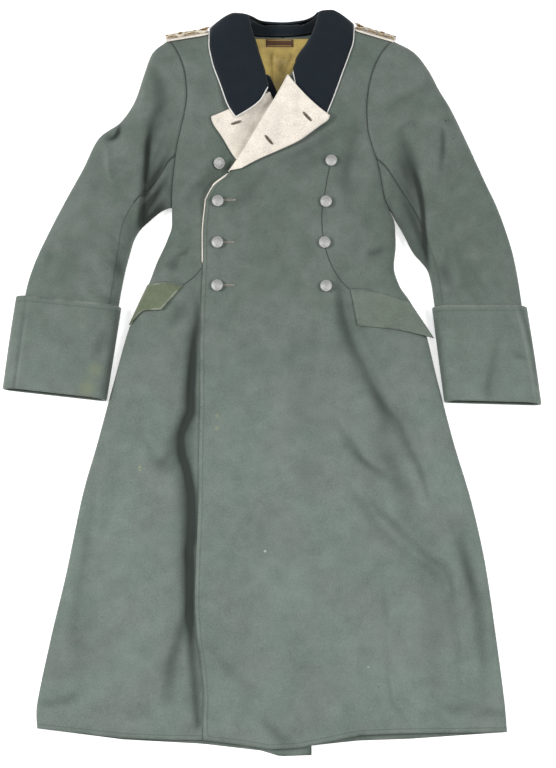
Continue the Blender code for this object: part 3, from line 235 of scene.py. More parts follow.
def crease_lines(lines, x, y):
    """Height in millimetres of soft folds, or depth of tone, along smooth lines of points.

    Each line has a lean, from -1 to 1, that makes the fold steeper on one side, and points
    with x, y and a half width in millimetres, and a height or tone, negative if below.
    """
    height = np.zeros(np.shape(x))
    for lean, points in lines:
        points = np.array(points) * (MM, MM, MM, 1)
        at = np.linspace(0, len(points) - 1, CREASE_STEPS * len(points))
        px, py, width, rise = (through(column, at) for column in points.T)
        reach = 3.5 * width.max()
        near = ((x > px.min() - reach) & (x < px.max() + reach) & (y > py.min() - reach)
                & (y < py.max() + reach))
        if not near.any():
            continue
        dx = x[near][:, None] - px
        dy = y[near][:, None] - py
        closest = np.argmin(dx * dx + dy * dy, axis=1)
        picked = np.arange(len(closest))
        tx, ty = np.gradient(px)[closest], np.gradient(py)[closest]
        span = np.hypot(tx, ty) + 1e-9
        aside = (dy[picked, closest] * tx - dx[picked, closest] * ty) / span
        past = (dx[picked, closest] * tx + dy[picked, closest] * ty) / span
        past = np.where((closest == 0) | (closest == len(px) - 1), past, 0)
        steep = width[closest] * (1 - lean * np.sign(aside))
        fall = np.exp(-(aside / steep) ** 2 - (past / (1.5 * width[closest])) ** 2)
        height[near] += rise[closest] * fall
    return height


def normals(grid, up, closed=False):
    """Unit normals of a grid of points, turned to the side where up is positive."""
    if closed:
        across = np.roll(grid, -1, axis=1) - np.roll(grid, 1, axis=1)
    else:
        across = np.gradient(grid, axis=1)
    normal = np.cross(across, np.gradient(grid, axis=0))
    normal /= np.linalg.norm(normal, axis=2, keepdims=True) + 1e-12
    return normal * np.sign(np.sum(normal[..., 2])) * up


def unit(vector):
    """The vector at length one."""
    return vector / (np.linalg.norm(vector, axis=-1, keepdims=True) + 1e-12)


# Side seams from the hem to the armpit
SIDE_LEFT = table("x y z",
                  (0.395, -0.628, 0.005), (0.393, -0.590, 0.006), (0.381, -0.470, 0.008),
                  (0.367, -0.350, 0.008), (0.346, -0.240, 0.008), (0.319, -0.140, 0.008),
                  (0.291, -0.020, 0.009), (0.272, 0.066, 0.009), (0.248, 0.117, 0.009),
                  (0.228, 0.149, 0.009), (0.219, 0.183, 0.009), (0.223, 0.225, 0.010),
                  (0.222, 0.262, 0.011), (0.213, 0.289, 0.012))
SIDE_RIGHT = table("x y z",
                   (-0.394, -0.622, 0.005), (-0.396, -0.592, 0.006), (-0.375, -0.470, 0.008),
                   (-0.354, -0.370, 0.008), (-0.328, -0.225, 0.008), (-0.306, -0.139, 0.008),
                   (-0.281, -0.035, 0.009), (-0.256, 0.066, 0.009), (-0.238, 0.118, 0.009),
                   (-0.222, 0.150, 0.009), (-0.208, 0.190, 0.009), (-0.190, 0.232, 0.010),
                   (-0.1815, 0.262, 0.011), (-0.182, 0.294, 0.012))

# Armholes from the armpit to the shoulder tip: height of the front's and the back's edge
ARMHOLE_LEFT = table("x y front back",
                     (0.213, 0.289, 0.012, 0.0117), (0.204, 0.306, 0.019, 0.0030), (0.200, 0.325, 0.023, 0),
                     (0.192, 0.370, 0.028, 0), (0.181, 0.406, 0.033, 0), (0.173, 0.442, 0.036, 0),
                     (0.172, 0.475, 0.038, 0), (0.175, 0.510, 0.040, 0), (0.182, 0.542, 0.042, 0),
                     (0.194, 0.572, 0.044, 0), (0.211, 0.597, 0.045, 0), (0.226, 0.612, 0.045, 0))
ARMHOLE_RIGHT = table("x y front back",
                      (-0.182, 0.294, 0.012, 0.0117), (-0.182, 0.311, 0.019, 0.0030),
                      (-0.181, 0.332, 0.023, 0),
                      (-0.178, 0.362, 0.028, 0), (-0.174, 0.398, 0.033, 0), (-0.167, 0.435, 0.036, 0),
                      (-0.160, 0.468, 0.038, 0), (-0.156, 0.502, 0.040, 0), (-0.159, 0.540, 0.042, 0),
                      (-0.169, 0.574, 0.044, 0), (-0.182, 0.598, 0.045, 0), (-0.195, 0.6136, 0.045, 0))

# Front edges: up to the armpit's level, then round the break, up the lapel fold and the neck
EDGE_LEFT_LOW = table("x y", (-0.115, -0.641), (-0.114, -0.575), (-0.118, -0.525), (-0.126, -0.476),
                      (-0.131, -0.410), (-0.130, -0.342), (-0.127, -0.240), (-0.127, -0.150),
                      (-0.126, -0.060),
                      (-0.127, 0.030), (-0.126, 0.116), (-0.1235, 0.186), (-0.124, 0.240), (-0.119, 0.304))
EDGE_LEFT_HIGH = table("x y", (-0.119, 0.304), (-0.105, 0.330), (-0.080, 0.351), (-0.058, 0.382),
                       (-0.036, 0.419), (-0.014, 0.458), (0.009, 0.496), (0.030, 0.536), (0.050, 0.560),
                       (0.073, 0.584), (0.089, 0.612), (0.098, 0.632), (0.101, 0.6523))
EDGE_RIGHT_LOW = table("x y", (0.095, -0.640), (0.097, -0.3), (0.097, 0), (0.097, 0.2), (0.092, 0.300))
EDGE_RIGHT_HIGH = table("x y", (0.092, 0.300), (0.080, 0.328), (0.066, 0.350), (0.050, 0.378),
                        (0.034, 0.408), (0.020, 0.440), (0.008, 0.474), (-0.007, 0.508), (-0.022, 0.530),
                        (-0.040, 0.556), (-0.056, 0.584), (-0.067, 0.610), (-0.073, 0.6355))

# Shoulder seams seen from above: a point on each and its slope
SHOULDER_LEFT = {"x": 0.218, "y": 0.6145, "slope": -0.323}
SHOULDER_RIGHT = {"x": -0.191, "y": 0.6143, "slope": 0.180}

# Height of the fronts' outer face along the coat, away from its edges
HEIGHTS = table("y height", (-0.66, 0.012), (-0.45, 0.015), (-0.2, 0.018), (0, 0.021), (0.15, 0.024),
                (0.30, 0.030), (0.42, 0.037), (0.50, 0.041), (0.58, 0.044), (0.66, 0.045))

# Hem lines of the fronts and the back
HEM_FRONT = table("x y", (-0.394, -0.622), (-0.327, -0.629), (-0.253, -0.637), (-0.187, -0.640),
                  (-0.116, -0.641), (-0.053, -0.648), (-0.003, -0.656), (0.047, -0.653), (0.097, -0.643),
                  (0.147, -0.633), (0.214, -0.630), (0.298, -0.629), (0.395, -0.628))
HEM_BACK_RIGHT = table("x y", (-0.394, -0.622), (-0.250, -0.640), (-0.116, -0.647), (-0.018, -0.658),
                       (0.014, -0.6675), (0.067, -0.6655))
HEM_BACK_LEFT = table("x y", (0.030, -0.655), (0.067, -0.650), (0.145, -0.642), (0.232, -0.639),
                      (0.395, -0.628))

# Largest folds of the fronts: two ends, sideways bow, half width and height
BODY_FOLDS = table("x0 y0 x1 y1 bow width rise",
                   (-0.143, 0.13, -0.148, -0.52, 0.004, 0.010, -0.0055),
                   (-0.146, -0.42, -0.176, -0.60, -0.004, 0.011, -0.0035),
                   (-0.165, 0.08, -0.172, -0.42, 0.006, 0.014, 0.0025),
                   (0.118, 0.15, 0.200, -0.10, 0.012, 0.013, -0.0040),
                   (0.185, -0.04, 0.272, -0.36, -0.012, 0.016, -0.0045),
                   (0.262, -0.27, 0.276, -0.60, 0.006, 0.018, -0.0030),
                   (0.150, -0.11, 0.300, -0.36, 0.016, 0.014, -0.0030),
                   (0.292, -0.33, 0.322, -0.62, 0.010, 0.014, -0.0035),
                   (0.215, -0.02, 0.315, -0.34, -0.014, 0.018, 0.0035),
                   (0.080, -0.20, 0.130, -0.62, 0.010, 0.030, 0.0025),
                   (0.010, -0.30, 0.030, -0.66, -0.008, 0.035, 0.0035),
                   (-0.050, 0.02, -0.070, -0.50, 0.004, 0.030, 0.0020),
                   (-0.230, 0.02, -0.290, -0.50, 0.010, 0.026, 0.0025),
                   (-0.255, -0.10, -0.335, -0.60, -0.008, 0.020, -0.0025),
                   (0.060, 0.10, 0.070, -0.30, -0.006, 0.028, -0.0020),
                   (0.185, 0.30, 0.120, 0.16, 0.006, 0.016, -0.0025),
                   (-0.165, 0.27, -0.140, 0.17, 0.004, 0.014, -0.0020),
                   (0.150, 0.43, 0.110, 0.28, -0.008, 0.020, 0.0020),
                   (-0.135, 0.47, -0.130, 0.32, 0.006, 0.018, 0.0020))

# Creases in millimetres: a lean, then places with a half width and a height
BODY_CREASES = (
    (0.4, ((-141, 137, 5, -1), (-132, 91, 8, -4), (-136, 27, 10, -5), (-142, -36, 11, -6),
           (-147, -81, 11, -6), (-159, -134, 10, -6), (-153, -187, 12, -6), (-145, -239, 10, -6),
           (-142, -325, 10, -6), (-139, -410, 9, -5), (-133, -460, 8, -3), (-123, -510, 6, -2.5),
           (-120, -614, 5, -2))),
    (0, ((-142, -423, 7, -2.5), (-157, -476, 8, -3), (-171, -523, 9, -3), (-176, -567, 8, -1))),
    (0.2, ((-234, -98, 6, -0.5), (-218, -137, 7, -1.8), (-201, -169, 9, -2.5), (-180, -180, 10, -3),
           (-163, -172, 8, -1))),
    (0, ((-182, 119, 14, 1.5), (-187, 9, 16, 2.5), (-187, -98, 12, 2.5), (-181, -134, 8, 1))),
    (0, ((-175, -221, 12, 1), (-174, -342, 14, 2), (-179, -443, 14, 1.5))),
    (0, ((-398, -579, 6, -1), (-375, -580, 8, -3), (-348, -577, 9, -3.2), (-318, -562, 8, -1))),
    (0, ((-245, -595, 6, -0.6), (-232, -606, 6, -1.6), (-217, -601, 6, -0.6))),
    (0, ((-111, -476, 8, -0.6), (-84, -513, 9, -1.8), (-53, -543, 10, -2), (-16, -572, 9, -1.2))),
    (0, ((-33, -595, 9, -0.8), (-10, -614, 9, -2), (14, -637, 9, -2.2))),
    (0.5, ((119, 162, 5, -0.8), (122, 118, 7, -3.2), (129, 77, 8, -4.2), (141, 39, 9, -4), (158, 5, 9, -4),
           (179, -42, 9, -3.8), (203, -81, 9, -3.6), (225, -106, 8, -3.8), (240, -147, 8, -4),
           (258, -184, 7, -3.6), (269, -226, 6, -2.6), (279, -260, 5, -1))),
    (0, ((142, 118, 6, 0.6), (152, 63, 7, 1.5), (179, 5, 8, 1.8), (220, -71, 8, 1.8), (244, -113, 6, 2.4),
         (264, -161, 6, 2.2), (280, -212, 5, 1.5))),
    (0.3, ((112, -96, 6, -1), (131, -131, 7, -2.6), (149, -163, 8, -3), (180, -184, 8, -2),
           (208, -201, 8, -0.8))),
    (-0.3, ((118, -187, 6, 0.8), (147, -199, 6, 2), (171, -239, 7, 2.6), (200, -275, 7, 2.8),
            (251, -316, 7, 2.8), (291, -347, 6, 2.8), (312, -381, 5, 2.6), (319, -430, 5, 2),
            (323, -493, 5, 1.6), (324, -569, 5, 1))),
    (0.2, ((128, -211, 6, -1), (152, -239, 8, -2), (179, -280, 9, -2.2), (236, -335, 10, -2),
           (280, -366, 9, -1.6), (300, -410, 9, -1))),
    (0, ((290, -239, 8, -0.8), (319, -308, 9, -2.2), (338, -376, 9, -3), (348, -443, 9, -2.6),
         (354, -526, 9, -1.8), (356, -575, 8, -1))),
    (0, ((288, -585, 7, -1), (308, -593, 8, -3), (328, -587, 7, -2))),
    (0, ((345, -601, 7, -1), (365, -596, 8, -3), (385, -598, 7, -1.6))),
    (0.6, ((196, -410, 4, -0.4), (196, -476, 4, -1), (200, -549, 4, -1.6), (205, -580, 4, -2),
           (221, -598, 4, -2), (231, -618, 4, -1))),
    (0, ((115, -359, 6, -0.5), (112, -460, 6, -1.2), (114, -575, 6, -0.8))),
    (0, ((183, -335, 5, -0.5), (191, -393, 6, -1.2), (197, -443, 5, -0.6))),
    (0, ((76, -342, 12, 0.8), (68, -476, 14, 1.6), (62, -600, 12, 1.4))),
    (0, ((9, -632, 8, -1), (24, -643, 8, -2), (44, -653, 7, -1))),
    (0, ((-57, 64, 16, 0.8), (-63, -98, 18, 1.4), (-55, -273, 16, 1))),
    (0, ((-267, -63, 12, 0.8), (-291, -204, 14, 1.4), (-303, -376, 14, 1.2))),
    (0, ((-305, -187, 8, -0.8), (-321, -342, 9, -1.6), (-338, -476, 9, -1))),
    (0, ((152, 431, 10, -0.8), (142, 392, 12, -2), (133, 345, 13, -2), (139, 288, 10, -0.8))),
    (0, ((161, 258, 7, 0.6), (164, 220, 7, 1.6), (167, 183, 6, 0.8))),
    (0, ((164, 206, 5, -0.8), (178, 206, 6, -2.4), (194, 211, 5, -1))),
    (0, ((199, 183, 5, -0.6), (211, 165, 5, 1.8), (214, 143, 5, 0.6))),
    (0, ((-194, 181, 5, -0.8), (-180, 183, 6, -2.6), (-165, 176, 5, -1))),
    (0, ((-199, 161, 5, -0.6), (-184, 157, 5, -1.6), (-167, 150, 5, -0.5))),
    (0, ((0, 358, 10, -0.5), (43, 368, 12, -1.6), (97, 389, 12, -1.4), (123, 412, 9, -0.5))),
    (0, ((-58, 318, 10, 0.5), (-40, 271, 12, 1.2), (-18, 232, 10, 0.6))),
    (0, ((-105, 318, 8, -0.4), (-65, 299, 9, -1), (-18, 307, 8, -0.4))),
    (0, ((-4, 183, 10, 0.4), (50, 191, 12, 1), (103, 183, 10, 0.4))),
)


# Painted shade beside the folds, in millimetres: a lean, then places with a half width and a depth of tone
FRONT_SHADES = {"left": (
    (0, ((119, 155, 7, 0.2), (123, 107, 10, 0.3), (131, 74, 13, 0.35), (143, 41, 14, 0.3),
         (162, 0, 13, 0.12), (181, -47, 11, 0.25), (194, -70, 14, 0.3), (217, -100, 20, 0.32),
         (237, -145, 12, 0.25), (257, -187, 8, 0.25), (269, -232, 5, 0.15))),
    (0, ((163, -225, 5, 0.1), (181, -253, 6, 0.35), (205, -277, 7, 0.4), (235, -304, 8, 0.4),
         (272, -335, 8, 0.4), (301, -361, 7, 0.35), (312, -398, 5, 0.25))),
    (0, ((139, -131, 5, 0.15), (153, -161, 7, 0.4), (173, -182, 7, 0.3), (194, -196, 6, 0.1))),
    (0, ((322, -274, 8, 0.1), (329, -316, 10, 0.35), (341, -376, 10, 0.45), (355, -426, 9, 0.35),
         (361, -510, 8, 0.2))),
    (0, ((-18, 345, 10, 0.1), (-40, 322, 12, 0.35), (-58, 301, 12, 0.35), (-79, 292, 8, 0.1))),
    (0, ((14, 375, 7, 0.2), (50, 391, 8, 0.45), (96, 414, 8, 0.4), (119, 437, 5, 0.1))),
    (0, ((174, 202, 6, 0.25), (189, 207, 6, 0.45), (203, 213, 5, 0.15))),
    (0, ((155, 435, 9, 0.15), (140, 392, 11, 0.35), (131, 345, 12, 0.3), (132, 297, 9, 0.1))),
), "right": (
    (0, ((-132, 126, 5, 0.25), (-133, 86, 6, 0.45), (-140, 37, 7, 0.6), (-142, -34, 9, 0.75),
         (-140, -79, 9, 0.95), (-150, -100, 11, 0.9), (-157, -128, 12, 0.9), (-157, -153, 11, 1),
         (-149, -178, 9, 1), (-142, -206, 8, 1.1), (-136, -237, 8, 1.15), (-135, -270, 8, 1.2),
         (-135, -301, 9, 1.15), (-140, -328, 10, 0.95), (-138, -362, 9, 1), (-139, -416, 9, 0.95),
         (-138, -476, 8, 0.9), (-132, -543, 7, 0.8), (-125, -614, 6, 0.7))),
    (0, ((-168, -107, 6, 0.1), (-176, -134, 9, 0.35), (-181, -160, 10, 0.45), (-194, -174, 7, 0.2))),
    (0, ((-153, 119, 8, 0.1), (-164, 97, 12, 0.45), (-174, 79, 10, 0.3), (-192, 64, 8, 0.05))),
    (0, ((-183, 189, 6, 0.3), (-171, 197, 6, 0.5), (-179, 175, 6, 0.3))),
)}
BROAD_SHARE = 0.5       # how strongly the broad folds show beside the creases


def body_folds(x, y):
    """Height of all the fronts' folds."""
    x, y = np.atleast_1d(x), np.atleast_1d(y)
    return BROAD_SHARE * creases(BODY_FOLDS, x, y) + MM * crease_lines(BODY_CREASES, x, y)


def plateau(x, y):
    """Height of the left front's outer face away from its edges."""
    return np.interp(y, HEIGHTS["y"], HEIGHTS["height"]) + body_folds(x, y)


def left_edge_x(y):
    """Where the left front's edge lies at a height up the coat."""
    xs = np.concatenate((EDGE_LEFT_LOW["x"], EDGE_LEFT_HIGH["x"][1:]))
    ys = np.concatenate((EDGE_LEFT_LOW["y"], EDGE_LEFT_HIGH["y"][1:]))
    return np.interp(y, ys, xs)


def right_plateau(x, y):
    """The right front, which sinks to pass under the left front and its facing."""
    under = x - left_edge_x(y)
    high = ease((y - 0.255) / 0.07)
    depth = 0.0028 + 0.0104 * high
    flat = ease((under + 0.006) / 0.024) * (1 - high)
    folds = body_folds(x, y) * (1 - flat) - 0.0020 * flat
    level = np.interp(y, HEIGHTS["y"], HEIGHTS["height"])
    return level + folds - depth * ease((under + 0.046) / 0.036)


def shoulder_distance(line, x, y):
    """How far a point lies below the shoulder seam."""
    return line["y"] + line["slope"] * (x - line["x"]) - y


def round_shoulder(line, x, y, z):
    """Bring a front's height down over the shoulder to its seam."""
    return SHOULDER_SEAM + (z - SHOULDER_SEAM) * roll(shoulder_distance(line, x, y), SHOULDER_ROLL)


def armhole_points(armhole, line):
    """Front and back edges of an armhole, from the armpit to the shoulder tip."""
    points = sample(armhole, "x y", ARMHOLE_STEPS)
    where = np.interp(points[:, 1], armhole["y"], np.arange(len(armhole["y"])))
    front = through(armhole["front"], where)
    front = round_shoulder(line, points[:, 0], points[:, 1], front)
    front[-1] = SHOULDER_SEAM
    back = np.interp(points[:, 1], armhole["y"], armhole["back"])
    near = 1 - roll(shoulder_distance(line, points[:, 0], points[:, 1]), SHOULDER_ROLL)
    back = np.maximum(back, (SHOULDER_SEAM - GAP) * near)
    back[-1] = SHOULDER_SEAM - GAP
    return np.column_stack((points, front)), np.column_stack((points, back))


def hem_dip(hem, side, edge, x, y):
    """How far the curved hem hangs below a straight line, fading out up the skirt."""
    straight = side[0][1] + (edge[0][1] - side[0][1]) * (x - side[0][0]) / (edge[0][0] - side[0][0])
    order = np.argsort(hem["x"])
    dip = np.interp(x, hem["x"][order], hem["y"][order]) - straight
    return dip * (1 - ease((y + 0.640) / 0.30))


def panel(name, points, wall, up, material, painted_shading=None, sewn="", around=False, plain=0):
    """A cloth panel through a grid of points, thickened on its inner side.

    up is the direction its outer face looks in, or None where it looks away from its middle.
    sewn names its sewn edges: f and l for the first and last column, b and t for the rows.
    plain is 1 where a seam is turned under and doesn't show.
    """
    rows, columns, _ = points.shape
    bm = bmesh.new()
    bmesh.ops.create_grid(bm, x_segments=columns - 1, y_segments=rows - 1, size=0.5)
    across = np.linalg.norm(np.diff(points, axis=1, prepend=points[:, :1]), axis=2).cumsum(axis=1)
    along = np.linalg.norm(np.diff(points, axis=0, prepend=points[:1]), axis=2).cumsum(axis=0)
    edges = {"b": along, "t": along[-1:] - along}
    if not around:
        edges.update(f=across, l=across[:, -1:] - across)
    far = np.ones(along.shape)
    rim = np.minimum.reduce([far] + [gap for key, gap in edges.items() if key not in sewn]).ravel()
    seam = np.minimum.reduce([far] + [gap for key, gap in edges.items() if key in sewn])
    seam = (seam + plain * far).ravel()
    flat_points = points.reshape(-1, 3)
    across, along = across.ravel(), along.ravel()
    # The shading given here is painted into the cloth's colour: shade above 0, light below 0
    painted_shading = np.zeros(len(rim)) if painted_shading is None else np.ravel(painted_shading)
    rim_layer = bm.verts.layers.float.new("rim")
    seam_layer = bm.verts.layers.float.new("seam")
    painted_shading_layer = bm.verts.layers.float.new("painted_shading")
    uv = bm.loops.layers.uv.new("cloth")
    for k, vert in enumerate(bm.verts):
        vert.co = flat_points[k]
        vert[rim_layer] = rim[k]
        vert[seam_layer] = seam[k]
        vert[painted_shading_layer] = painted_shading[k]
    bm.verts.index_update()
    for face in bm.faces:
        for loop in face.loops:
            k = loop.vert.index
            loop[uv].uv = (across[k], along[k])
    if around:
        bmesh.ops.remove_doubles(bm, verts=bm.verts, dist=1e-6)
    bmesh.ops.recalc_face_normals(bm, faces=bm.faces)
    bm.normal_update()
    if up is None:
        middle = Vector(flat_points.mean(axis=0))
        looks = sum(face.normal.dot(face.calc_center_median() - middle)
                    * face.calc_area() for face in bm.faces)
    else:
        looks = sum(face.normal.dot(Vector(up)) * face.calc_area() for face in bm.faces)
    if looks < 0:
        bmesh.ops.reverse_faces(bm, faces=bm.faces)
    piece = new_piece(name, bm, material)
    if wall:
        thick = piece.modifiers.new("cloth", "SOLIDIFY")
        thick.thickness = wall
        thick.offset = -1
    return piece


def new_piece(name, bm, material):
    """A smooth piece from a bmesh, that moves with the coat."""
    mesh = bpy.data.meshes.new(name)
    bm.to_mesh(mesh)
    bm.free()
    mesh.shade_smooth()
    mesh.materials.append(material)
    piece = bpy.data.objects.new(name, mesh)
    bpy.context.collection.objects.link(piece)
    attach(piece, "root")
    return piece


def cut(node):
    """Hide the imported parts that a piece stands for."""
    if node:
        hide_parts(*node)


def front_panel(side, armhole, line, edge_low, edge_high, height):
    """Rows of points from hem to shoulder, each from the side to the free edge."""
    low = sample(side, "x y z", SKIRT_STEPS)
    high, _ = armhole_points(armhole, line)
    side_points = np.concatenate((low, high[1:]))
    edge_points = np.concatenate((sample(edge_low, "x y", SKIRT_STEPS),
                                  sample(edge_high, "x y", ARMHOLE_STEPS)[1:]))
    grid = []
    for r, (start, end) in enumerate(zip(side_points, edge_points)):
        run = end - start[:2]
        length = np.linalg.norm(run)
        width = SIDE_ROLL if r < SKIRT_ROWS else min(SIDE_ROLL, 0.4 * length)
        distance = np.concatenate((width * NEAR_SIDE, np.linspace(width, length, FRONT_COLUMNS)[1:]))
        x = start[0] + run[0] * distance / length
        y = start[1] + run[1] * distance / length
        y = y + hem_dip(HEM_FRONT, side_points, edge_points, x, y)
        z = height(x, y)
        if r >= SKIRT_ROWS - 1:
            z = round_shoulder(line, x, y, z)
        z = start[2] + (z - start[2]) * roll(distance, width)
        if r == len(side_points) - 1:
            z = np.full(len(x), SHOULDER_SEAM)
        grid.append(np.column_stack((x, y, z)))
    return np.array(grid)


def surface(grid, beyond):
    """A function giving the height of a grid of points at any place, and another beyond it."""
    rows, columns, _ = grid.shape
    corners = []
    for r in range(rows - 1):
        for c in range(columns - 1):
            near = r * columns + c
            far = near + columns
            corners.append((near, near + 1, far + 1))
            corners.append((near, far + 1, far))
    tree = BVHTree.FromPolygons([tuple(point) for point in grid.reshape(-1, 3)], corners,
                                all_triangles=True)

    def height_at(x, y):
        hit = tree.ray_cast((x, y, 1.0), (0, 0, -1))[0]
        return hit.z if hit else float(beyond(x, y))

    def heights(xs, ys):
        found = [height_at(x, y) for x, y in zip(np.ravel(xs), np.ravel(ys))]
        return np.reshape(found, np.shape(xs))

    return heights


# The wool's grain is a fine twill under a short nap, felted at random and paler where edges have
# rubbed. Shade is painted darker in the folds and light is painted paler on their ridges. A few
# stains and lint specks have gathered on it.
# Marks: place, radius, colour and strength
WOOL_MARKS = (
    (-0.2295, -0.1813, 0.0045, (0.44, 0.41, 0.20, 1), 0.45),
    (-0.2294, -0.1865, 0.0035, (0.44, 0.41, 0.20, 1), 0.45),
    (-0.0962, -0.0912, 0.0060, (0.44, 0.41, 0.20, 1), 0.22),
    (-0.0960, -0.1125, 0.0070, (0.44, 0.41, 0.20, 1), 0.22),
    (-0.2440, -0.2083, 0.0022, (0.02, 0.025, 0.03, 1), 0.60),
    (-0.2887, -0.4381, 0.0022, (0.02, 0.025, 0.03, 1), 0.60),
    (0.1800, -0.5540, 0.0024, (0.02, 0.025, 0.03, 1), 0.60),
    (0.3163, 0.4530, 0.0026, (0.02, 0.025, 0.03, 1), 0.75),
    (0.3219, 0.4555, 0.0020, (0.02, 0.025, 0.03, 1), 0.60),
    (0.3282, 0.4192, 0.0022, (0.02, 0.025, 0.03, 1), 0.80),
    (-0.0118, -0.3265, 0.0026, (0.62, 0.64, 0.60, 1), 0.70),
    (0.1630, -0.5211, 0.0022, (0.62, 0.64, 0.60, 1), 0.60),
    (-0.3087, -0.0119, 0.0200, (0.25, 0.27, 0.13, 1), 0.30),
    (-0.3213, -0.0441, 0.0220, (0.25, 0.27, 0.13, 1), 0.32),
)


def wool_group():
    """Colour, roughness and height of a napped twill wool."""
    tree, given, result = group(
        "Napped twill",
        (("Colour low", "Color"), ("Colour high", "Color"), ("Wear", "Float"), ("Twill", "Float"),
                         ("Stitch", "Float"), ("Faded", "Float")),
        (("Colour", "Color"), ("Roughness", "Float"), ("Height", "Float")))
    spot = put(tree, "ShaderNodeTexCoord", {}).outputs["Object"]
    cloth = put(tree, "ShaderNodeUVMap", {}, uv_map="cloth").outputs[0]
    rim = put(tree, "ShaderNodeAttribute", {}, attribute_name="rim").outputs["Fac"]
    seam = put(tree, "ShaderNodeAttribute", {}, attribute_name="seam").outputs["Fac"]
    painted_shading = put(tree, "ShaderNodeAttribute", {}, attribute_name="painted_shading").outputs["Fac"]
    up = put(tree, "ShaderNodeSeparateXYZ", {0: spot}).outputs[1]
    broad = grain(tree, spot, 5.0, 3.0)
    middle = grain(tree, spot, 38.0, 4.0)
    felt = grain(tree, spot, 420.0, 3.0)
    fibre = grain(tree, put(tree, "ShaderNodeMapping", {0: spot, 3: (1.0, 0.3, 1.0)}).outputs[0], 1500.0,
                  2.0)
    rise = maths(tree, "ADD", up, maths(tree, "MULTIPLY", broad, 0.25))
    base = mixed(tree, spread(tree, rise, -0.15, 0.42), given["Colour low"], given["Colour high"])
    patchy = grain(tree, spot, 13.0, 3.0)
    base = mixed(tree, maths(tree, "MULTIPLY", spread(tree, patchy, 0.42, 0.62), given["Faded"]), base,
                 (0.172, 0.182, 0.172, 1))
    tone = maths(tree, "ADD", maths(tree, "MULTIPLY", broad, 0.34), maths(tree, "MULTIPLY", middle, 0.52))
    tone = maths(tree, "ADD", tone, maths(tree, "MULTIPLY", felt, 0.62))
    tone = maths(tree, "ADD", tone, maths(tree, "MULTIPLY", fibre, 0.34))
    tone = maths(tree, "ADD", tone, 0.09)
    shade = put(tree, "ShaderNodeCombineColor", {0: tone, 1: tone, 2: tone}).outputs[0]
    base = mixed(tree, 1.0, base, shade, "MULTIPLY")
    rubbed = maths(tree, "MULTIPLY", spread(tree, rim, 0.006, 0.0), spread(tree, middle, 0.40, 0.62))
    rubbed = maths(tree, "MULTIPLY", rubbed, given["Wear"])
    base = mixed(tree, rubbed, base, (0.34, 0.35, 0.30, 1))
    fleck = maths(tree, "MULTIPLY", spread(tree, fibre, 0.66, 0.74),
                  maths(tree, "MULTIPLY", given["Wear"], 0.5))
    base = mixed(tree, fleck, base, (0.42, 0.43, 0.38, 1))
    # Painted shade: darker in the folds and along the shade lines
    fold_shade = maths(tree, "MINIMUM", maths(tree, "MULTIPLY", painted_shading, 0.73), 0.89)
    base = mixed(tree, maths(tree, "MAXIMUM", fold_shade, 0.0), base, (0.018, 0.023, 0.020, 1))
    # Painted light: paler along the lit lines on the ridges
    folds_and_ridge_light = maths(tree, "MULTIPLY", spread(tree, painted_shading, 0.0, -1.0), 0.40)
    base = mixed(tree, folds_and_ridge_light, base, (0.30, 0.345, 0.315, 1))
    for x, y, radius, colour, strength in WOOL_MARKS:
        flat_spot = put(tree, "ShaderNodeVectorMath", {0: spot, 1: (1, 1, 0)},
                        operation="MULTIPLY").outputs[0]
        away = put(tree, "ShaderNodeVectorMath", {0: flat_spot, 1: (x, y, 0)},
                   operation="DISTANCE").outputs[1]
        ragged = maths(tree, "MULTIPLY", away,
                       maths(tree, "ADD", 0.3, maths(tree, "MULTIPLY", middle, 1.4)))
        share = maths(tree, "MULTIPLY", spread(tree, ragged, radius, radius * 0.1), strength)
        base = mixed(tree, share, base, colour)
    sewn = maths(tree, "MULTIPLY", spread(tree, seam, 0.0022, 0.0004), 0.62)
    base = mixed(tree, sewn, base, (0.030, 0.038, 0.032, 1))
    beside = maths(tree, "ABSOLUTE", maths(tree, "SUBTRACT", rim, given["Stitch"]))
    thread = maths(tree, "MULTIPLY", spread(tree, beside, 0.0013, 0.0004),
                   spread(tree, given["Stitch"], 0.001, 0.002))
    base = mixed(tree, maths(tree, "MULTIPLY", thread, 0.17), base, (0.040, 0.052, 0.044, 1))
    tree.links.new(base, result["Colour"])
    tree.links.new(spread(tree, felt, 0.3, 0.7, 0.86, 0.97), result["Roughness"])
    diagonal = put(tree, "ShaderNodeVectorMath", {0: cloth, 1: (2400.0, 4000.0, 0.0)},
                   operation="DOT_PRODUCT").outputs[1]
    ribs = maths(tree, "MULTIPLY", maths(tree, "SINE", diagonal), given["Twill"])
    height = maths(tree, "ADD", maths(tree, "MULTIPLY", ribs, 0.10), maths(tree, "MULTIPLY", felt, 0.50))
    height = maths(tree, "ADD", height, maths(tree, "MULTIPLY", fibre, 0.35))
    height = maths(tree, "ADD", height, maths(tree, "MULTIPLY", middle, 1.6))
    height = maths(tree, "SUBTRACT", height, maths(tree, "MULTIPLY", spread(tree, seam, 0.006, 0.0), 2.0))
    height = maths(tree, "SUBTRACT", height, maths(tree, "MULTIPLY", thread, 0.9))
    tree.links.new(height, result["Height"])
    return tree


WOOL_GROUP = wool_group()


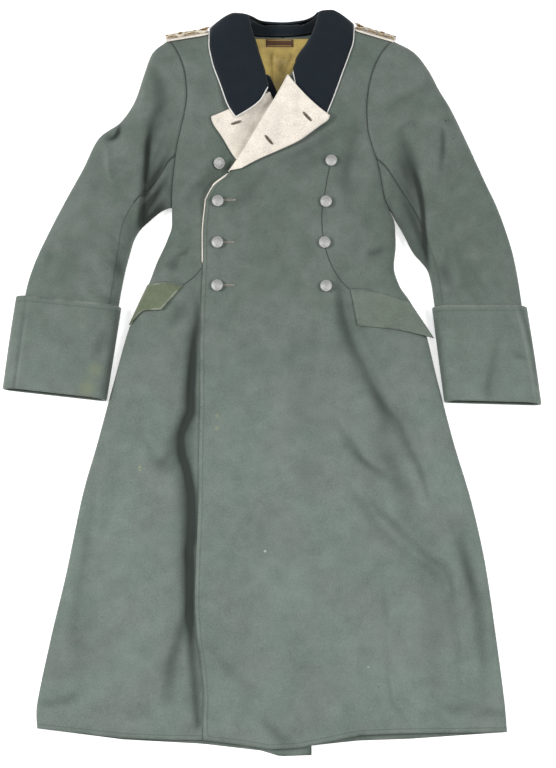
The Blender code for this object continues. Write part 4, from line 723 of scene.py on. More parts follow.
def wool_material(name, low, high, wear=0.6, twill=1.0, bump=0.0008, stitch=0.0, faded=0.0):
    """A wool cloth with a skirt and a chest colour, and a stitched line beside its free edges."""
    material, tree, shader = new_material(name, 0.9, Sheen_Weight=0.22, Sheen_Roughness=0.45,
                                          Specular_IOR_Level=0.22)
    cloth = put(tree, "ShaderNodeGroup", {}, node_tree=WOOL_GROUP)
    cloth.inputs["Colour low"].default_value = (*low, 1)
    cloth.inputs["Colour high"].default_value = (*high, 1)
    cloth.inputs["Wear"].default_value = wear
    cloth.inputs["Twill"].default_value = twill
    cloth.inputs["Stitch"].default_value = stitch
    cloth.inputs["Faded"].default_value = faded
    tree.links.new(cloth.outputs["Colour"], shader.inputs["Base Color"])
    tree.links.new(cloth.outputs["Roughness"], shader.inputs["Roughness"])
    relief = put(tree, "ShaderNodeBump",
                 {"Height": cloth.outputs["Height"], "Distance": bump, "Strength": 0.8})
    tree.links.new(relief.outputs[0], shader.inputs["Normal"])
    return material


SKIRT_GREY = (0.165, 0.208, 0.184)
CHEST_GREY = (0.112, 0.143, 0.121)
FIELD_GREY = wool_material("field_grey_wool", SKIRT_GREY, CHEST_GREY, wear=0.25, faded=0.35)
FRONT_WOOL = wool_material("front_wool", SKIRT_GREY, CHEST_GREY, wear=0.16, stitch=0.007, faded=0.35)
NEAR_SIDE = np.array((0, 0.01, 0.03, 0.06, 0.10, 0.16, 0.23, 0.31, 0.40, 0.50, 0.61, 0.73, 0.86, 1.0))
FRONT_COLUMNS = 92


left_grid = front_panel(SIDE_LEFT, ARMHOLE_LEFT, SHOULDER_LEFT, EDGE_LEFT_LOW, EDGE_LEFT_HIGH, plateau)
right_grid = front_panel(SIDE_RIGHT, ARMHOLE_RIGHT, SHOULDER_RIGHT, EDGE_RIGHT_LOW,
                         EDGE_RIGHT_HIGH, right_plateau)
for side, grid, under in (("left", left_grid, "front_right"), ("right", right_grid, "back_right")):
    x, y = grid[..., 0], grid[..., 1]
    # Painted shade in the troughs of the folds and along the front's shade lines
    painted_shading = np.clip(-body_folds(x, y) / 0.008, 0, 1) + crease_lines(FRONT_SHADES[side], x, y)
    piece = panel("front_" + side + "_cloth", grid, WOOL, (0, 0, 1), FRONT_WOOL, painted_shading, "ft")
    cut(["front_" + side])
on_left = surface(left_grid, plateau)
on_right = surface(right_grid, right_plateau)

# Backs: two halves of the same wool joined at the centre seam, with a lapped vent in the
# skirt. They lie flat on the floor and curl up at the sides to meet the fronts.
CENTRE_BACK = 0.020       # x of the centre-back seam
VENT_TOP = -0.20          # the hem vent opens below this
VENT_LAP = 0.067          # x of the right back's free edge in the vent
NECK_LEFT = table("x y", (0.0205, 0.631), (0.060, 0.634), (0.086, 0.641), (0.100, 0.6526))
NECK_RIGHT = table("x y", (0.0195, 0.631), (-0.022, 0.632), (-0.048, 0.635), (-0.073, 0.6355))


def vent_edge(y):
    """The right back's edge: the centre seam, stepping out to the vent's free edge."""
    return CENTRE_BACK - GAP + (VENT_LAP - CENTRE_BACK) * ease((VENT_TOP - y) / 0.03)


def back_lift(x, y, is_left):
    """Height of the back's underside over the collar fall and over the vent's lap."""
    collar = 0.0037 * ease((y - 0.560) / 0.025) * ease((0.160 - np.abs(x - CENTRE_BACK)) / 0.03)
    if not is_left:
        return collar
    lap = 0.0024 * ease((VENT_LAP + 0.020 - x) / 0.016) * ease((VENT_TOP + 0.12 - y) / 0.04)
    return collar + lap


NEAR_BACK = np.array((0, 0.02, 0.06, 0.12, 0.2, 0.32, 0.45, 0.6, 0.8, 1.0))
BACK_WOOL = wool_material("back_wool", (0.140, 0.176, 0.156), (0.125, 0.155, 0.128), wear=0.3)


def back_panel(side, armhole, line, neck, hem, is_left, outward):
    """Rows of points from hem to shoulder, each from the side to the centre."""
    low = sample(side, "x y z", SKIRT_STEPS)
    low[:, 2] -= GAP
    _, high = armhole_points(armhole, line)
    side_points = np.concatenate((low, high[1:]))
    centre_low = np.column_stack((np.zeros(SKIRT_ROWS), np.linspace(-0.655, 0.300, SKIRT_ROWS)))
    if is_left:
        centre_low[:, 0] = CENTRE_BACK + 0.010 * ease((VENT_TOP - centre_low[:, 1]) / 0.03)
    else:
        centre_low[:, 0] = vent_edge(centre_low[:, 1])
    upper = np.array(ARMHOLE_STEPS[1:])
    on_seam = upper <= 0.76
    centre_high = np.zeros((len(upper), 2))
    centre_high[on_seam] = np.column_stack((np.full(on_seam.sum(), neck["x"][0]),
                                            0.300 + 0.331 * upper[on_seam] / 0.76))
    centre_high[~on_seam] = sample(neck, "x y", (upper[~on_seam] - 0.76) / 0.24)
    centre = np.concatenate((centre_low, centre_high))
    grid = []
    for r, start in enumerate(side_points):
        run = centre[r] - start[:2]
        length = np.linalg.norm(run)
        distance = np.concatenate((NEAR_BACK * SIDE_CURL, np.linspace(SIDE_CURL, length, 48)[1:]))
        x = start[0] + run[0] * distance / length
        y = start[1] + run[1] * distance / length
        y = y + hem_dip(hem, side_points, centre, x, y)
        curl = start[2] * (1 - roll(distance, SIDE_CURL))
        if r >= SKIRT_ROWS:
            near = 1 - roll(shoulder_distance(line, x, y), SHOULDER_ROLL)
            inside = ease((neck["x"][-1] - x) * -outward / 0.004 + 1)
            curl = np.maximum(curl, (SHOULDER_SEAM - GAP) * near * inside)
        if r == len(side_points) - 1:
            curl = np.full(len(x), SHOULDER_SEAM - GAP)
        grid.append(np.column_stack((x, y, np.maximum(curl, back_lift(x, y, is_left)))))
    return np.array(grid)


for side, points, under in (
        ("left", back_panel(SIDE_LEFT, ARMHOLE_LEFT, SHOULDER_LEFT, NECK_LEFT, HEM_BACK_LEFT, True, 1),
         "back_right"),
        ("right",
         back_panel(SIDE_RIGHT, ARMHOLE_RIGHT, SHOULDER_RIGHT, NECK_RIGHT, HEM_BACK_RIGHT, False, -1), "")):
    piece = panel("back_" + side + "_cloth", points, WOOL, (0, 0, -1), BACK_WOOL, None, "flt")
    cut(["back_" + side])

# Sleeves: each is cut in two, an upper and an under sleeve, joined by a front seam that
# shows and an elbow seam on the under side. They lie flat and fold over at the underarm.
SLEEVE_LEFT = table("outer_x outer_y inner_x inner_y top lift bulge seam",
                    (0.226, 0.612, 0.213, 0.289, 0.044, 0, 1.00, 0.26),
                    (0.262, 0.592, 0.219, 0.280, 0.042, 0, 0.92, 0.25),
                    (0.290, 0.555, 0.223, 0.270, 0.040, 0, 0.80, 0.24),
                    (0.308, 0.519, 0.228, 0.261, 0.038, 0, 0.66, 0.23),
                    (0.326, 0.488, 0.233, 0.252, 0.037, 0, 0.52, 0.22),
                    (0.347, 0.442, 0.240, 0.238, 0.036, 0, 0.36, 0.21),
                    (0.367, 0.394, 0.247, 0.222, 0.035, 0, 0.22, 0.19),
                    (0.388, 0.342, 0.256, 0.206, 0.034, 0, 0.10, 0.15),
                    (0.406, 0.300, 0.268, 0.192, 0.033, 0, 0.03, 0.10),
                    (0.421, 0.255, 0.279, 0.176, 0.031, 0, 0, 0.07),
                    (0.435, 0.200, 0.285, 0.153, 0.029, 0, 0, 0.06),
                    (0.445, 0.126, 0.2895, 0.115, 0.027, 0.003, 0, 0.06),
                    (0.452, 0.040, 0.2980, 0.030, 0.026, 0.003, 0, 0.06),
                    (0.4575, -0.060, 0.3075, -0.057, 0.026, 0.003, 0, 0.06))
SLEEVE_RIGHT = table("outer_x outer_y inner_x inner_y top lift bulge seam",
                     (-0.195, 0.6136, -0.182, 0.294, 0.044, 0, 1.00, 0.26),
                     (-0.222, 0.590, -0.187, 0.293, 0.042, 0, 0.92, 0.25),
                     (-0.238, 0.545, -0.193, 0.291, 0.040, 0, 0.80, 0.24),
                     (-0.252, 0.500, -0.201, 0.287, 0.038, 0, 0.66, 0.23),
                     (-0.278, 0.458, -0.211, 0.279, 0.037, 0, 0.52, 0.22),
                     (-0.317, 0.428, -0.224, 0.267, 0.036, 0, 0.36, 0.21),
                     (-0.346, 0.366, -0.238, 0.253, 0.035, 0, 0.22, 0.19),
                     (-0.376, 0.306, -0.249, 0.233, 0.034, 0, 0.10, 0.15),
                     (-0.403, 0.248, -0.257, 0.203, 0.033, 0, 0.03, 0.10),
                     (-0.427, 0.190, -0.264, 0.172, 0.031, 0, 0, 0.07),
                     (-0.438, 0.153, -0.269, 0.143, 0.029, 0, 0, 0.06),
                     (-0.442, 0.131, -0.2735, 0.113, 0.027, 0.003, 0, 0.06),
                     (-0.450, 0.050, -0.283, 0.035, 0.026, 0.003, 0, 0.06),
                     (-0.4595, -0.034, -0.2955, -0.050, 0.026, 0.003, 0, 0.06))
SLEEVE_EDGE = 0.010       # height of the sleeves' side folds

# Sleeve folds: two ends, bow, half width and height
SLEEVE_FOLDS = table("x0 y0 x1 y1 bow width rise",
                     (-0.205, 0.600, -0.196, 0.420, -0.010, 0.012, -0.0060),
                     (-0.232, 0.560, -0.215, 0.400, -0.004, 0.013, 0.0040),
                     (-0.172, 0.480, -0.205, 0.330, 0.004, 0.011, -0.0050),
                     (-0.176, 0.420, -0.232, 0.290, 0.002, 0.012, 0.0040),
                     (-0.300, 0.440, -0.270, 0.462, 0.002, 0.008, -0.0060),
                     (-0.310, 0.400, -0.318, 0.300, 0.004, 0.012, -0.0030),
                     (-0.285, 0.420, -0.280, 0.300, -0.004, 0.014, 0.0030),
                     (-0.340, 0.180, -0.300, 0.150, 0.004, 0.012, -0.0035),
                     (0.205, 0.580, 0.215, 0.420, 0.012, 0.014, -0.0040),
                     (0.190, 0.470, 0.250, 0.400, 0.006, 0.013, 0.0035),
                     (0.215, 0.410, 0.262, 0.290, 0.006, 0.010, -0.0075),
                     (0.300, 0.440, 0.330, 0.300, 0.006, 0.014, -0.0035),
                     (0.345, 0.330, 0.300, 0.210, -0.006, 0.014, 0.0035),
                     (0.400, 0.200, 0.330, 0.170, 0.006, 0.013, -0.0035),
                     (0.250, 0.520, 0.300, 0.420, 0.008, 0.016, 0.0030))

# Underarm: the line where each upper sleeve folds over the lower underarm, which is painted darker as shade
UNDERARM = table("x0 y0 x1 y1 drop width side",
                 (-0.2245, 0.440, -0.2400, 0.230, 0.0130, 0.008, -1),
                 (0.243, 0.385, 0.279, 0.180, 0.0100, 0.014, 1))
SLEEVE_BROAD_SHARE = 0.35      # how strongly the broad folds show beside the creases
# Creases in millimetres: a lean, then places with a half width and a height
SLEEVE_CREASES = (
    (0.3, ((-223, 558, 6, -1.5), (-213, 540, 8, -4.5), (-200, 513, 10, -5.5), (-199, 487, 11, -5.5),
           (-214, 460, 9, -5), (-222, 433, 7, -5), (-226, 402, 6, -4.5), (-229, 367, 5, -4),
           (-233, 320, 5, -3), (-237, 272, 4, -2))),
    (0, ((-238, 568, 6, 1.5), (-233, 540, 6, 3.5), (-231, 513, 6, 3.5), (-240, 485, 6, 2.5),
         (-248, 466, 6, 1))),
    (0, ((-188, 580, 6, 1), (-182, 548, 6, 2.2), (-180, 509, 6, 2.2), (-183, 477, 6, 1.2))),
    (0.5, ((-193, 560, 4, -1), (-180, 540, 4, -3.2), (-167, 524, 4, -2.4))),
    (0, ((-198, 528, 4, -0.6), (-185, 516, 4, -2), (-171, 507, 4, -1.2))),
    (0.5, ((-302, 428, 4, -1.5), (-291, 424, 5, -6), (-282, 432, 4, -7), (-280, 445, 4, -3))),
    (0, ((-303, 443, 5, 1.5), (-292, 443, 5, 2.6), (-281, 459, 5, 1.5))),
    (0, ((-313, 413, 5, 1), (-301, 390, 5, 2.2), (-297, 359, 5, 2.2), (-287, 325, 5, 1))),
    (0, ((-298, 413, 4, -0.6), (-289, 390, 5, -1.6), (-284, 355, 5, -1.8), (-274, 328, 5, -0.6))),
    (0, ((-277, 347, 4, -0.5), (-257, 349, 4, -1.2), (-235, 347, 4, -0.8))),
    (0, ((-272, 302, 4, -0.6), (-256, 300, 4, -1.6), (-239, 292, 4, -0.8))),
    (0, ((-379, 297, 4, -0.6), (-366, 303, 4, -1.6), (-354, 310, 4, -0.6))),
    (0, ((-294, 242, 4, -0.6), (-281, 227, 5, -2.2), (-265, 213, 5, -1.2))),
    (0, ((-299, 198, 6, -1), (-282, 183, 8, -3), (-269, 168, 7, -2.4), (-264, 150, 6, -1))),
    (0, ((-308, 217, 6, 0.8), (-311, 187, 7, 1.8), (-303, 154, 6, 0.8))),
    (0, ((-389, 235, 7, -0.6), (-397, 198, 8, -1.6), (-406, 157, 7, -0.8))),
    (0, ((-351, 349, 10, 0.6), (-364, 291, 12, 1.4), (-376, 235, 10, 0.6))),
    (0.3, ((-176, 463, 5, -0.5), (-193, 432, 6, -2.8), (-207, 393, 6, -3.6), (-217, 355, 6, -2.4))),
    (0, ((-174, 453, 4, 1), (-191, 418, 5, 2.6), (-207, 383, 5, 2.6), (-221, 356, 4, 1))),
    (0.2, ((-178, 398, 4, -1.5), (-192, 372, 5, -3.6), (-212, 341, 5, -3.6), (-226, 310, 4, -1.5))),
    (0, ((-180, 368, 4, 0.8), (-196, 341, 4, 2.4), (-215, 307, 4, 2), (-225, 291, 4, 0.8))),
    (0, ((-183, 326, 4, -1), (-193, 309, 4, -2.6), (-209, 290, 4, -2))),
    (0.2, ((183, 452, 6, -0.8), (207, 470, 8, -2.4), (237, 489, 9, -2.6), (270, 509, 9, -1.8),
           (296, 524, 8, -0.6))),
    (0, ((189, 477, 5, 0.6), (215, 497, 7, 1.6), (248, 516, 8, 1.4), (278, 536, 7, 0.5))),
    (0, ((184, 501, 4, -0.8), (199, 516, 5, -2.2), (219, 530, 5, -1))),
    (0, ((186, 528, 4, -0.6), (201, 540, 4, -1.6), (216, 552, 4, -0.6))),
    (0.5, ((271, 447, 5, -0.8), (251, 445, 6, -2.2), (234, 431, 6, -2.6), (227, 416, 5, -1))),
    (0.4, ((232, 420, 7, -1.5), (239, 396, 9, -4.5), (247, 371, 9, -6.5), (258, 343, 8, -6.5),
           (266, 312, 6, -6), (271, 278, 5, -5), (273, 241, 5, -3.5), (276, 207, 4, -1.5))),
    (0, ((276, 416, 6, 1), (275, 377, 7, 2.2), (281, 335, 6, 2.2), (287, 292, 6, 1))),
    (0.3, ((311, 439, 4, -0.8), (311, 406, 5, -2.6), (309, 373, 5, -2.2), (305, 339, 5, -0.8))),
    (0, ((373, 378, 5, 0.8), (383, 355, 5, 2), (396, 309, 5, 2), (404, 275, 5, 0.8))),
    (0, ((363, 279, 5, 0.8), (368, 234, 6, 2), (371, 193, 6, 2.4), (388, 163, 5, 2.6), (401, 134, 5, 2.4),
         (410, 104, 5, 1))),
    (0, ((329, 226, 6, -0.8), (335, 193, 7, -2), (346, 152, 8, -2.2), (365, 115, 7, -1))),
    (0, ((353, 185, 5, -0.6), (373, 145, 6, -1.8), (389, 108, 5, -0.8))),
    (0, ((296, 185, 6, -1), (306, 167, 8, -2.4), (318, 145, 7, -1.2))),
    (0, ((334, 287, 6, -0.5), (322, 253, 7, -1.6), (314, 226, 6, -0.6))),
    (0.3, ((202, 378, 4, -0.5), (227, 347, 4, -1.8), (248, 313, 4, -2), (262, 290, 4, -1))),
)
# Painted shade (above 0) and painted light (below 0) beside the sleeves' folds
SLEEVE_SHADES = (
    (0, ((-236, 560, 8, 0.15), (-223, 546, 12, 0.45), (-209, 522, 17, 0.65), (-201, 493, 20, 0.7),
         (-204, 462, 18, 0.7), (-218, 433, 11, 0.8), (-226, 402, 6, 1.1), (-226, 367, 6, 1.1),
         (-228, 342, 5, 0.9))),
    (0, ((-183, 400, 4, 0.4), (-197, 373, 6, 0.9), (-215, 341, 7, 1.1), (-227, 320, 6, 1.1))),
    (0, ((-180, 358, 4, 0.4), (-197, 331, 6, 0.9), (-217, 305, 7, 1.2), (-231, 286, 7, 1.2),
         (-239, 261, 6, 0.9))),
    (0, ((-183, 311, 6, 0.7), (-199, 292, 8, 1), (-220, 268, 9, 1.2), (-234, 245, 9, 1.1))),
    (0, ((-190, 450, 4, -0.1), (-204, 417, 5, -0.35), (-218, 386, 5, -0.45), (-223, 358, 4, -0.2))),
    (0, ((-182, 385, 3.5, -0.1), (-199, 349, 4, -0.5), (-217, 320, 4, -0.35))),
    (0, ((-193, 560, 4, 0.3), (-180, 538, 5, 0.7), (-165, 522, 4, 0.5))),
    (0, ((-184, 552, 4, -0.2), (-171, 513, 6, -0.3), (-174, 483, 5, -0.1))),
    (0, ((-306, 420, 4, 0.3), (-293, 418, 5, 0.8), (-282, 428, 5, 1), (-279, 443, 4, 0.5))),
    (0, ((-237, 524, 3.5, -0.2), (-238, 501, 4.5, -0.6), (-243, 481, 4, -0.5), (-248, 468, 3, -0.1))),
    (0, ((-311, 417, 4, -0.3), (-301, 393, 5, -0.4), (-299, 359, 4, -0.4), (-287, 332, 4, -0.4),
         (-282, 347, 3, -0.2))),
    (0, ((-286, 219, 6, 0.2), (-275, 185, 8, 0.5), (-281, 152, 7, 0.25))),
    (0, ((-312, 130, 9, 0.15), (-291, 117, 9, 0.5), (-275, 114, 6, 0.4))),
    (0, ((-338, 226, 12, 0.05), (-360, 185, 13, 0.25), (-380, 148, 10, 0.1))),
    (0, ((232, 431, 6, 0.3), (241, 410, 8, 0.6), (251, 383, 8, 0.8), (260, 350, 6, 0.9), (266, 322, 5, 1.1),
         (270, 293, 4.5, 1.2), (272, 255, 4, 1.2), (276, 207, 4, 1.1), (279, 181, 4, 0.4))),
    (0, ((236, 438, 4, 0.3), (249, 446, 5, 0.45), (265, 440, 5, 0.25))),
    (0, ((301, 438, 4, 0.2), (310, 427, 5, 0.5), (309, 396, 5, 0.4), (303, 362, 4, 0.15))),
    (0, ((182, 456, 5, 0.1), (207, 473, 7, 0.4), (241, 495, 8, 0.4), (280, 516, 7, 0.25))),
    (0, ((231, 322, 5, 0.1), (241, 295, 7, 0.4), (256, 261, 7, 0.5), (270, 218, 5, 0.4))),
    (0, ((314, 217, 8, 0.1), (309, 174, 9, 0.35), (319, 137, 7, 0.15))),
)
FRONT_SEAM = 0.28
ELBOW_SEAM = 0.87
SEAM_SHOWS = {"left": 0.245, "right": 0.295}    # the front seam turns under below this


def underarm_drop(x, y):
    """How far the underarm lies below the upper sleeve that folds over it."""
    drop = np.zeros(np.shape(x))
    for x0, y0, x1, y1, depth, width, side in zip(*UNDERARM.values()):
        length = math.hypot(x1 - x0, y1 - y0)
        along = ((x - x0) * (x1 - x0) + (y - y0) * (y1 - y0)) / length ** 2
        aside = ((y - y0) * (x1 - x0) - (x - x0) * (y1 - y0)) / length * side
        within = ease((along + 0.1) / 0.3) * ease((1.15 - along) / 0.2)
        near = ease((0.075 - np.abs(aside)) / 0.04)
        drop = drop + depth * ease(-aside / width + 0.5) * within * near
    return drop


SLEEVE_ROWS = 130


def sleeve_rings(stations, armhole, line):
    """Closed rings of points down a sleeve: over the top from the outer edge, back under."""
    front, back = armhole_points(armhole, line)
    steps = ARMHOLE_STEPS
    chord = front[0, :2] + (front[-1, :2] - front[0, :2]) * steps[:, None]
    bulge = front[:, :2] - chord
    at = np.linspace(0, len(stations["top"]) - 1, SLEEVE_ROWS)
    rings, painted_sleeve_shades = [], []
    for outer_x, outer_y, inner_x, inner_y, top, lift, share, seam in zip(
            *(through(column, at) for column in stations.values())):
        outer_end = np.array((outer_x, outer_y))
        inner_end = np.array((inner_x, inner_y))
        width = np.linalg.norm(outer_end - inner_end)
        place = np.interp(steps, (0, FRONT_SEAM, 1), (0, seam + (FRONT_SEAM - 0.26), 1))
        plan = inner_end + (outer_end - inner_end) * place[:, None] + share * bulge
        from_inner = place * width
        from_outer = (1 - place) * width
        rise = roll(from_inner, 0.040) * roll(from_outer, 0.050)
        drop = underarm_drop(plan[:, 0], plan[:, 1])
        folds_and_ridge_light = (SLEEVE_BROAD_SHARE * creases(SLEEVE_FOLDS, plan[:, 0], plan[:, 1])
                   + MM * crease_lines(SLEEVE_CREASES, plan[:, 0], plan[:, 1]))
        fold = folds_and_ridge_light - drop
        high = SLEEVE_EDGE + (top - SLEEVE_EDGE + fold * (1 - share ** 3)) * rise
        high = share ** 2 * front[:, 2] + (1 - share ** 2) * high
        low = lift + (SLEEVE_EDGE - lift) * (1 - roll(from_inner, 0.016) * roll(from_outer, 0.020))
        low = share ** 2 * back[:, 2] + (1 - share ** 2) * low
        over = np.column_stack((plan, high))[::-1]
        under = np.column_stack((plan, low))[1:-1]
        rings.append(np.concatenate((over, under)))
        # Painted shade in the folds' troughs, under the upper sleeve at the underarm and along the shade
        # lines, and painted light along the lit lines
        tone = (np.clip(-folds_and_ridge_light / 0.009, 0, 1) + 44 * drop
                + crease_lines(SLEEVE_SHADES, plan[:, 0], plan[:, 1]))
        painted_sleeve_shade = tone * (1 - share ** 3)
        painted_sleeve_shades.append(np.concatenate((painted_sleeve_shade[::-1], np.zeros(len(under)))))
    rings = np.array(rings)
    away = rings[1] - rings[0]
    away[:, 2] = 0
    rings[0] += 0.0006 * unit(away)
    return rings, np.array(painted_sleeve_shades)


for side, stations, armhole, line in (("left", SLEEVE_LEFT, ARMHOLE_LEFT, SHOULDER_LEFT),
                                      ("right", SLEEVE_RIGHT, ARMHOLE_RIGHT, SHOULDER_RIGHT)):
    rings, painted_sleeve_shades = sleeve_rings(stations, armhole, line)
    count = len(ARMHOLE_STEPS)
    total = rings.shape[1]
    front_seam = count - 1 - int(np.argmin(np.abs(ARMHOLE_STEPS - FRONT_SEAM)))
    elbow_seam = count - 1 + int(np.argmin(np.abs(ARMHOLE_STEPS - ELBOW_SEAM)))
    upper = np.arange(elbow_seam, total + front_seam + 1) % total
    under = np.arange(front_seam, elbow_seam + 1)
    for part, picked, up in (("upper", upper, (0, 0, 1)), ("under", under, (0, 0, -1))):
        strip = rings[:, picked].copy()
        turned = ease((SEAM_SHOWS[side] - strip[..., 1]) / 0.03)
        parted = 0.0002 * (1 - turned[:, :1])
        strip[:, 0] += parted * unit(strip[:, 1] - strip[:, 0])
        strip[:, -1] += parted * unit(strip[:, -2] - strip[:, -1])
        name = part + "_sleeve_" + side
        piece = panel(name + "_cloth", strip, WOOL, up, FIELD_GREY, painted_sleeve_shades[:, picked], "flbt", plain=turned)
        cut([name])

# Cuffs: deep bands of the same wool turned back over the sleeve ends, their mouths left
# open. The turned edge at the mouth is a fold, the upper edge is stitched down.
CUFF_LEFT = table("outer_x outer_y inner_x inner_y top",
                  (0.455, 0.106, 0.2855, 0.106, 0.034), (0.465, 0.020, 0.294, 0.022, 0.034),
                  (0.474, -0.069, 0.303, -0.064, 0.033))
CUFF_RIGHT = table("outer_x outer_y inner_x inner_y top",
                   (-0.458, 0.126, -0.2693, 0.106, 0.034), (-0.467, 0.044, -0.280, 0.022, 0.034),
                   (-0.475, -0.041, -0.291, -0.062, 0.033))
# Creases in millimetres: a lean, then places with a half width and a height
CUFF_CREASES = (
    (0, ((397, 75, 5, -0.6), (394, 42, 6, -1.4), (386, -3, 6, -1.6), (380, -51, 5, -0.8))),
    (-0.3, ((428, 100, 4, 0.8), (438, 79, 4, 1.8), (447, 42, 4, 2), (454, 2, 4, 2), (459, -58, 4, 1))),
    (0, ((437, 20, 4, -0.8), (447, 13, 4, -1.6), (454, 11, 4, -0.8))),
    (0, ((-310, 46, 6, -0.5), (-299, 20, 7, -1.6), (-305, -15, 6, -0.8))),
    (0, ((-374, 79, 12, 0.5), (-379, 24, 14, 1), (-388, -30, 12, 0.4))),
    (0, ((349, 60, 12, 0.5), (340, 15, 14, 1), (343, -30, 12, 0.4))),
)
# Painted shade (above 0) and painted light (below 0) on the cuffs
CUFF_SHADES = (
    (0, ((-274, 93, 6, 0.4), (-276, 42, 7, 0.8), (-282, -5, 8, 0.9), (-286, -51, 8, 0.9))),
    (0, ((-436, 116, 3, 0.3), (-444, 34, 3, 0.5), (-451, -40, 3, 0.5))),
    (0, ((-432, 116, 3, -0.3), (-439, 34, 3, -0.5), (-446, -40, 3, -0.5))),
    (0, ((-294, 64, 6, 0.1), (-303, 39, 8, 0.35), (-312, 13, 8, 0.15))),
    (0, ((289, 79, 5, 0.5), (292, 33, 6, 0.6), (296, -12, 6, 0.6), (302, -58, 5, 0.5))),
    (0, ((430, 104, 3, -0.3), (439, 73, 4, -0.6), (451, 11, 4, -0.7), (456, -30, 3.5, -0.6),
         (460, -62, 3, -0.4))),
    (0, ((442, 94, 4, 0.3), (452, 61, 5, 0.6), (460, 12, 5, 0.6), (466, -38, 4, 0.4))),
    (0, ((423, 20, 4, 0.1), (433, 13, 5, 0.5), (447, 10, 4, 0.4))),
    (0, ((398, 42, 5, 0.1), (389, 6, 7, 0.3), (379, -39, 8, 0.35), (375, -65, 6, 0.2))),
)
CUFF_WALL = 0.0025
CUFF_FOOT = 0.0050
CUFF_TURNS = fine_steps((0, 0.015, 0.06, 0.15, 0.32, 0.5, 0.68, 0.85, 0.94, 0.985, 1), 5)


def cuff_ring(rows, share, inset):
    """A closed ring of a cuff at a share of its height, drawn in by an inset."""
    outer_x, outer_y, inner_x, inner_y, top = (through(rows[name], np.array(2 * share)) for name in rows)
    outer_end = np.array((outer_x, outer_y))
    inner_end = np.array((inner_x, inner_y))
    width = np.linalg.norm(outer_end - inner_end)
    place = np.array(CUFF_TURNS)
    shrunk = inset / width + place * (1 - 2 * inset / width)
    plan = inner_end + (outer_end - inner_end) * shrunk[:, None]
    rise = roll(place * width, 0.030) * roll((1 - place) * width, 0.030)
    sink = roll(place * width, 0.014) * roll((1 - place) * width, 0.014)
    fold = MM * crease_lines(CUFF_CREASES, plan[:, 0], plan[:, 1])
    high = SLEEVE_EDGE + (top - inset - SLEEVE_EDGE + fold) * rise
    low = inset + (SLEEVE_EDGE - inset) * (1 - sink)
    over = np.column_stack((plan, high))[::-1]
    under = np.column_stack((plan, low))[1:-1]
    return np.concatenate((over, under))


CUFF_WOOL = wool_material("cuff_wool", SKIRT_GREY, CHEST_GREY, wear=0.4, stitch=0.010, faded=0.35)

for side, rows in (("left", CUFF_LEFT), ("right", CUFF_RIGHT)):
    height = math.hypot(rows["inner_x"][0] - rows["inner_x"][-1], rows["inner_y"][0] - rows["inner_y"][-1])
    foot = 1 - CUFF_WALL / height
    outer = [(share, 0) for share in np.linspace(0, 0.985, 34)] + [(1, 0.0008), (1, CUFF_FOOT)]
    inner = [(share, CUFF_WALL) for share in np.linspace(0, foot, 18)] + [(foot, CUFF_FOOT)]
    profile = outer + inner[::-1] + outer[:1]
    rings = np.array([cuff_ring(rows, share, inset) for share, inset in profile])
    rings = np.concatenate((rings, rings[:, :1]), axis=1)
    name = "cuff_" + side
    tone = crease_lines(CUFF_SHADES, rings[..., 0], rings[..., 1]) * ease((rings[..., 2] - 0.010) / 0.006)
    piece = panel(name + "_cloth", rings, 0, None, CUFF_WOOL, tone, around=True)
    shown = rings[:len(outer)]
    cut([name])

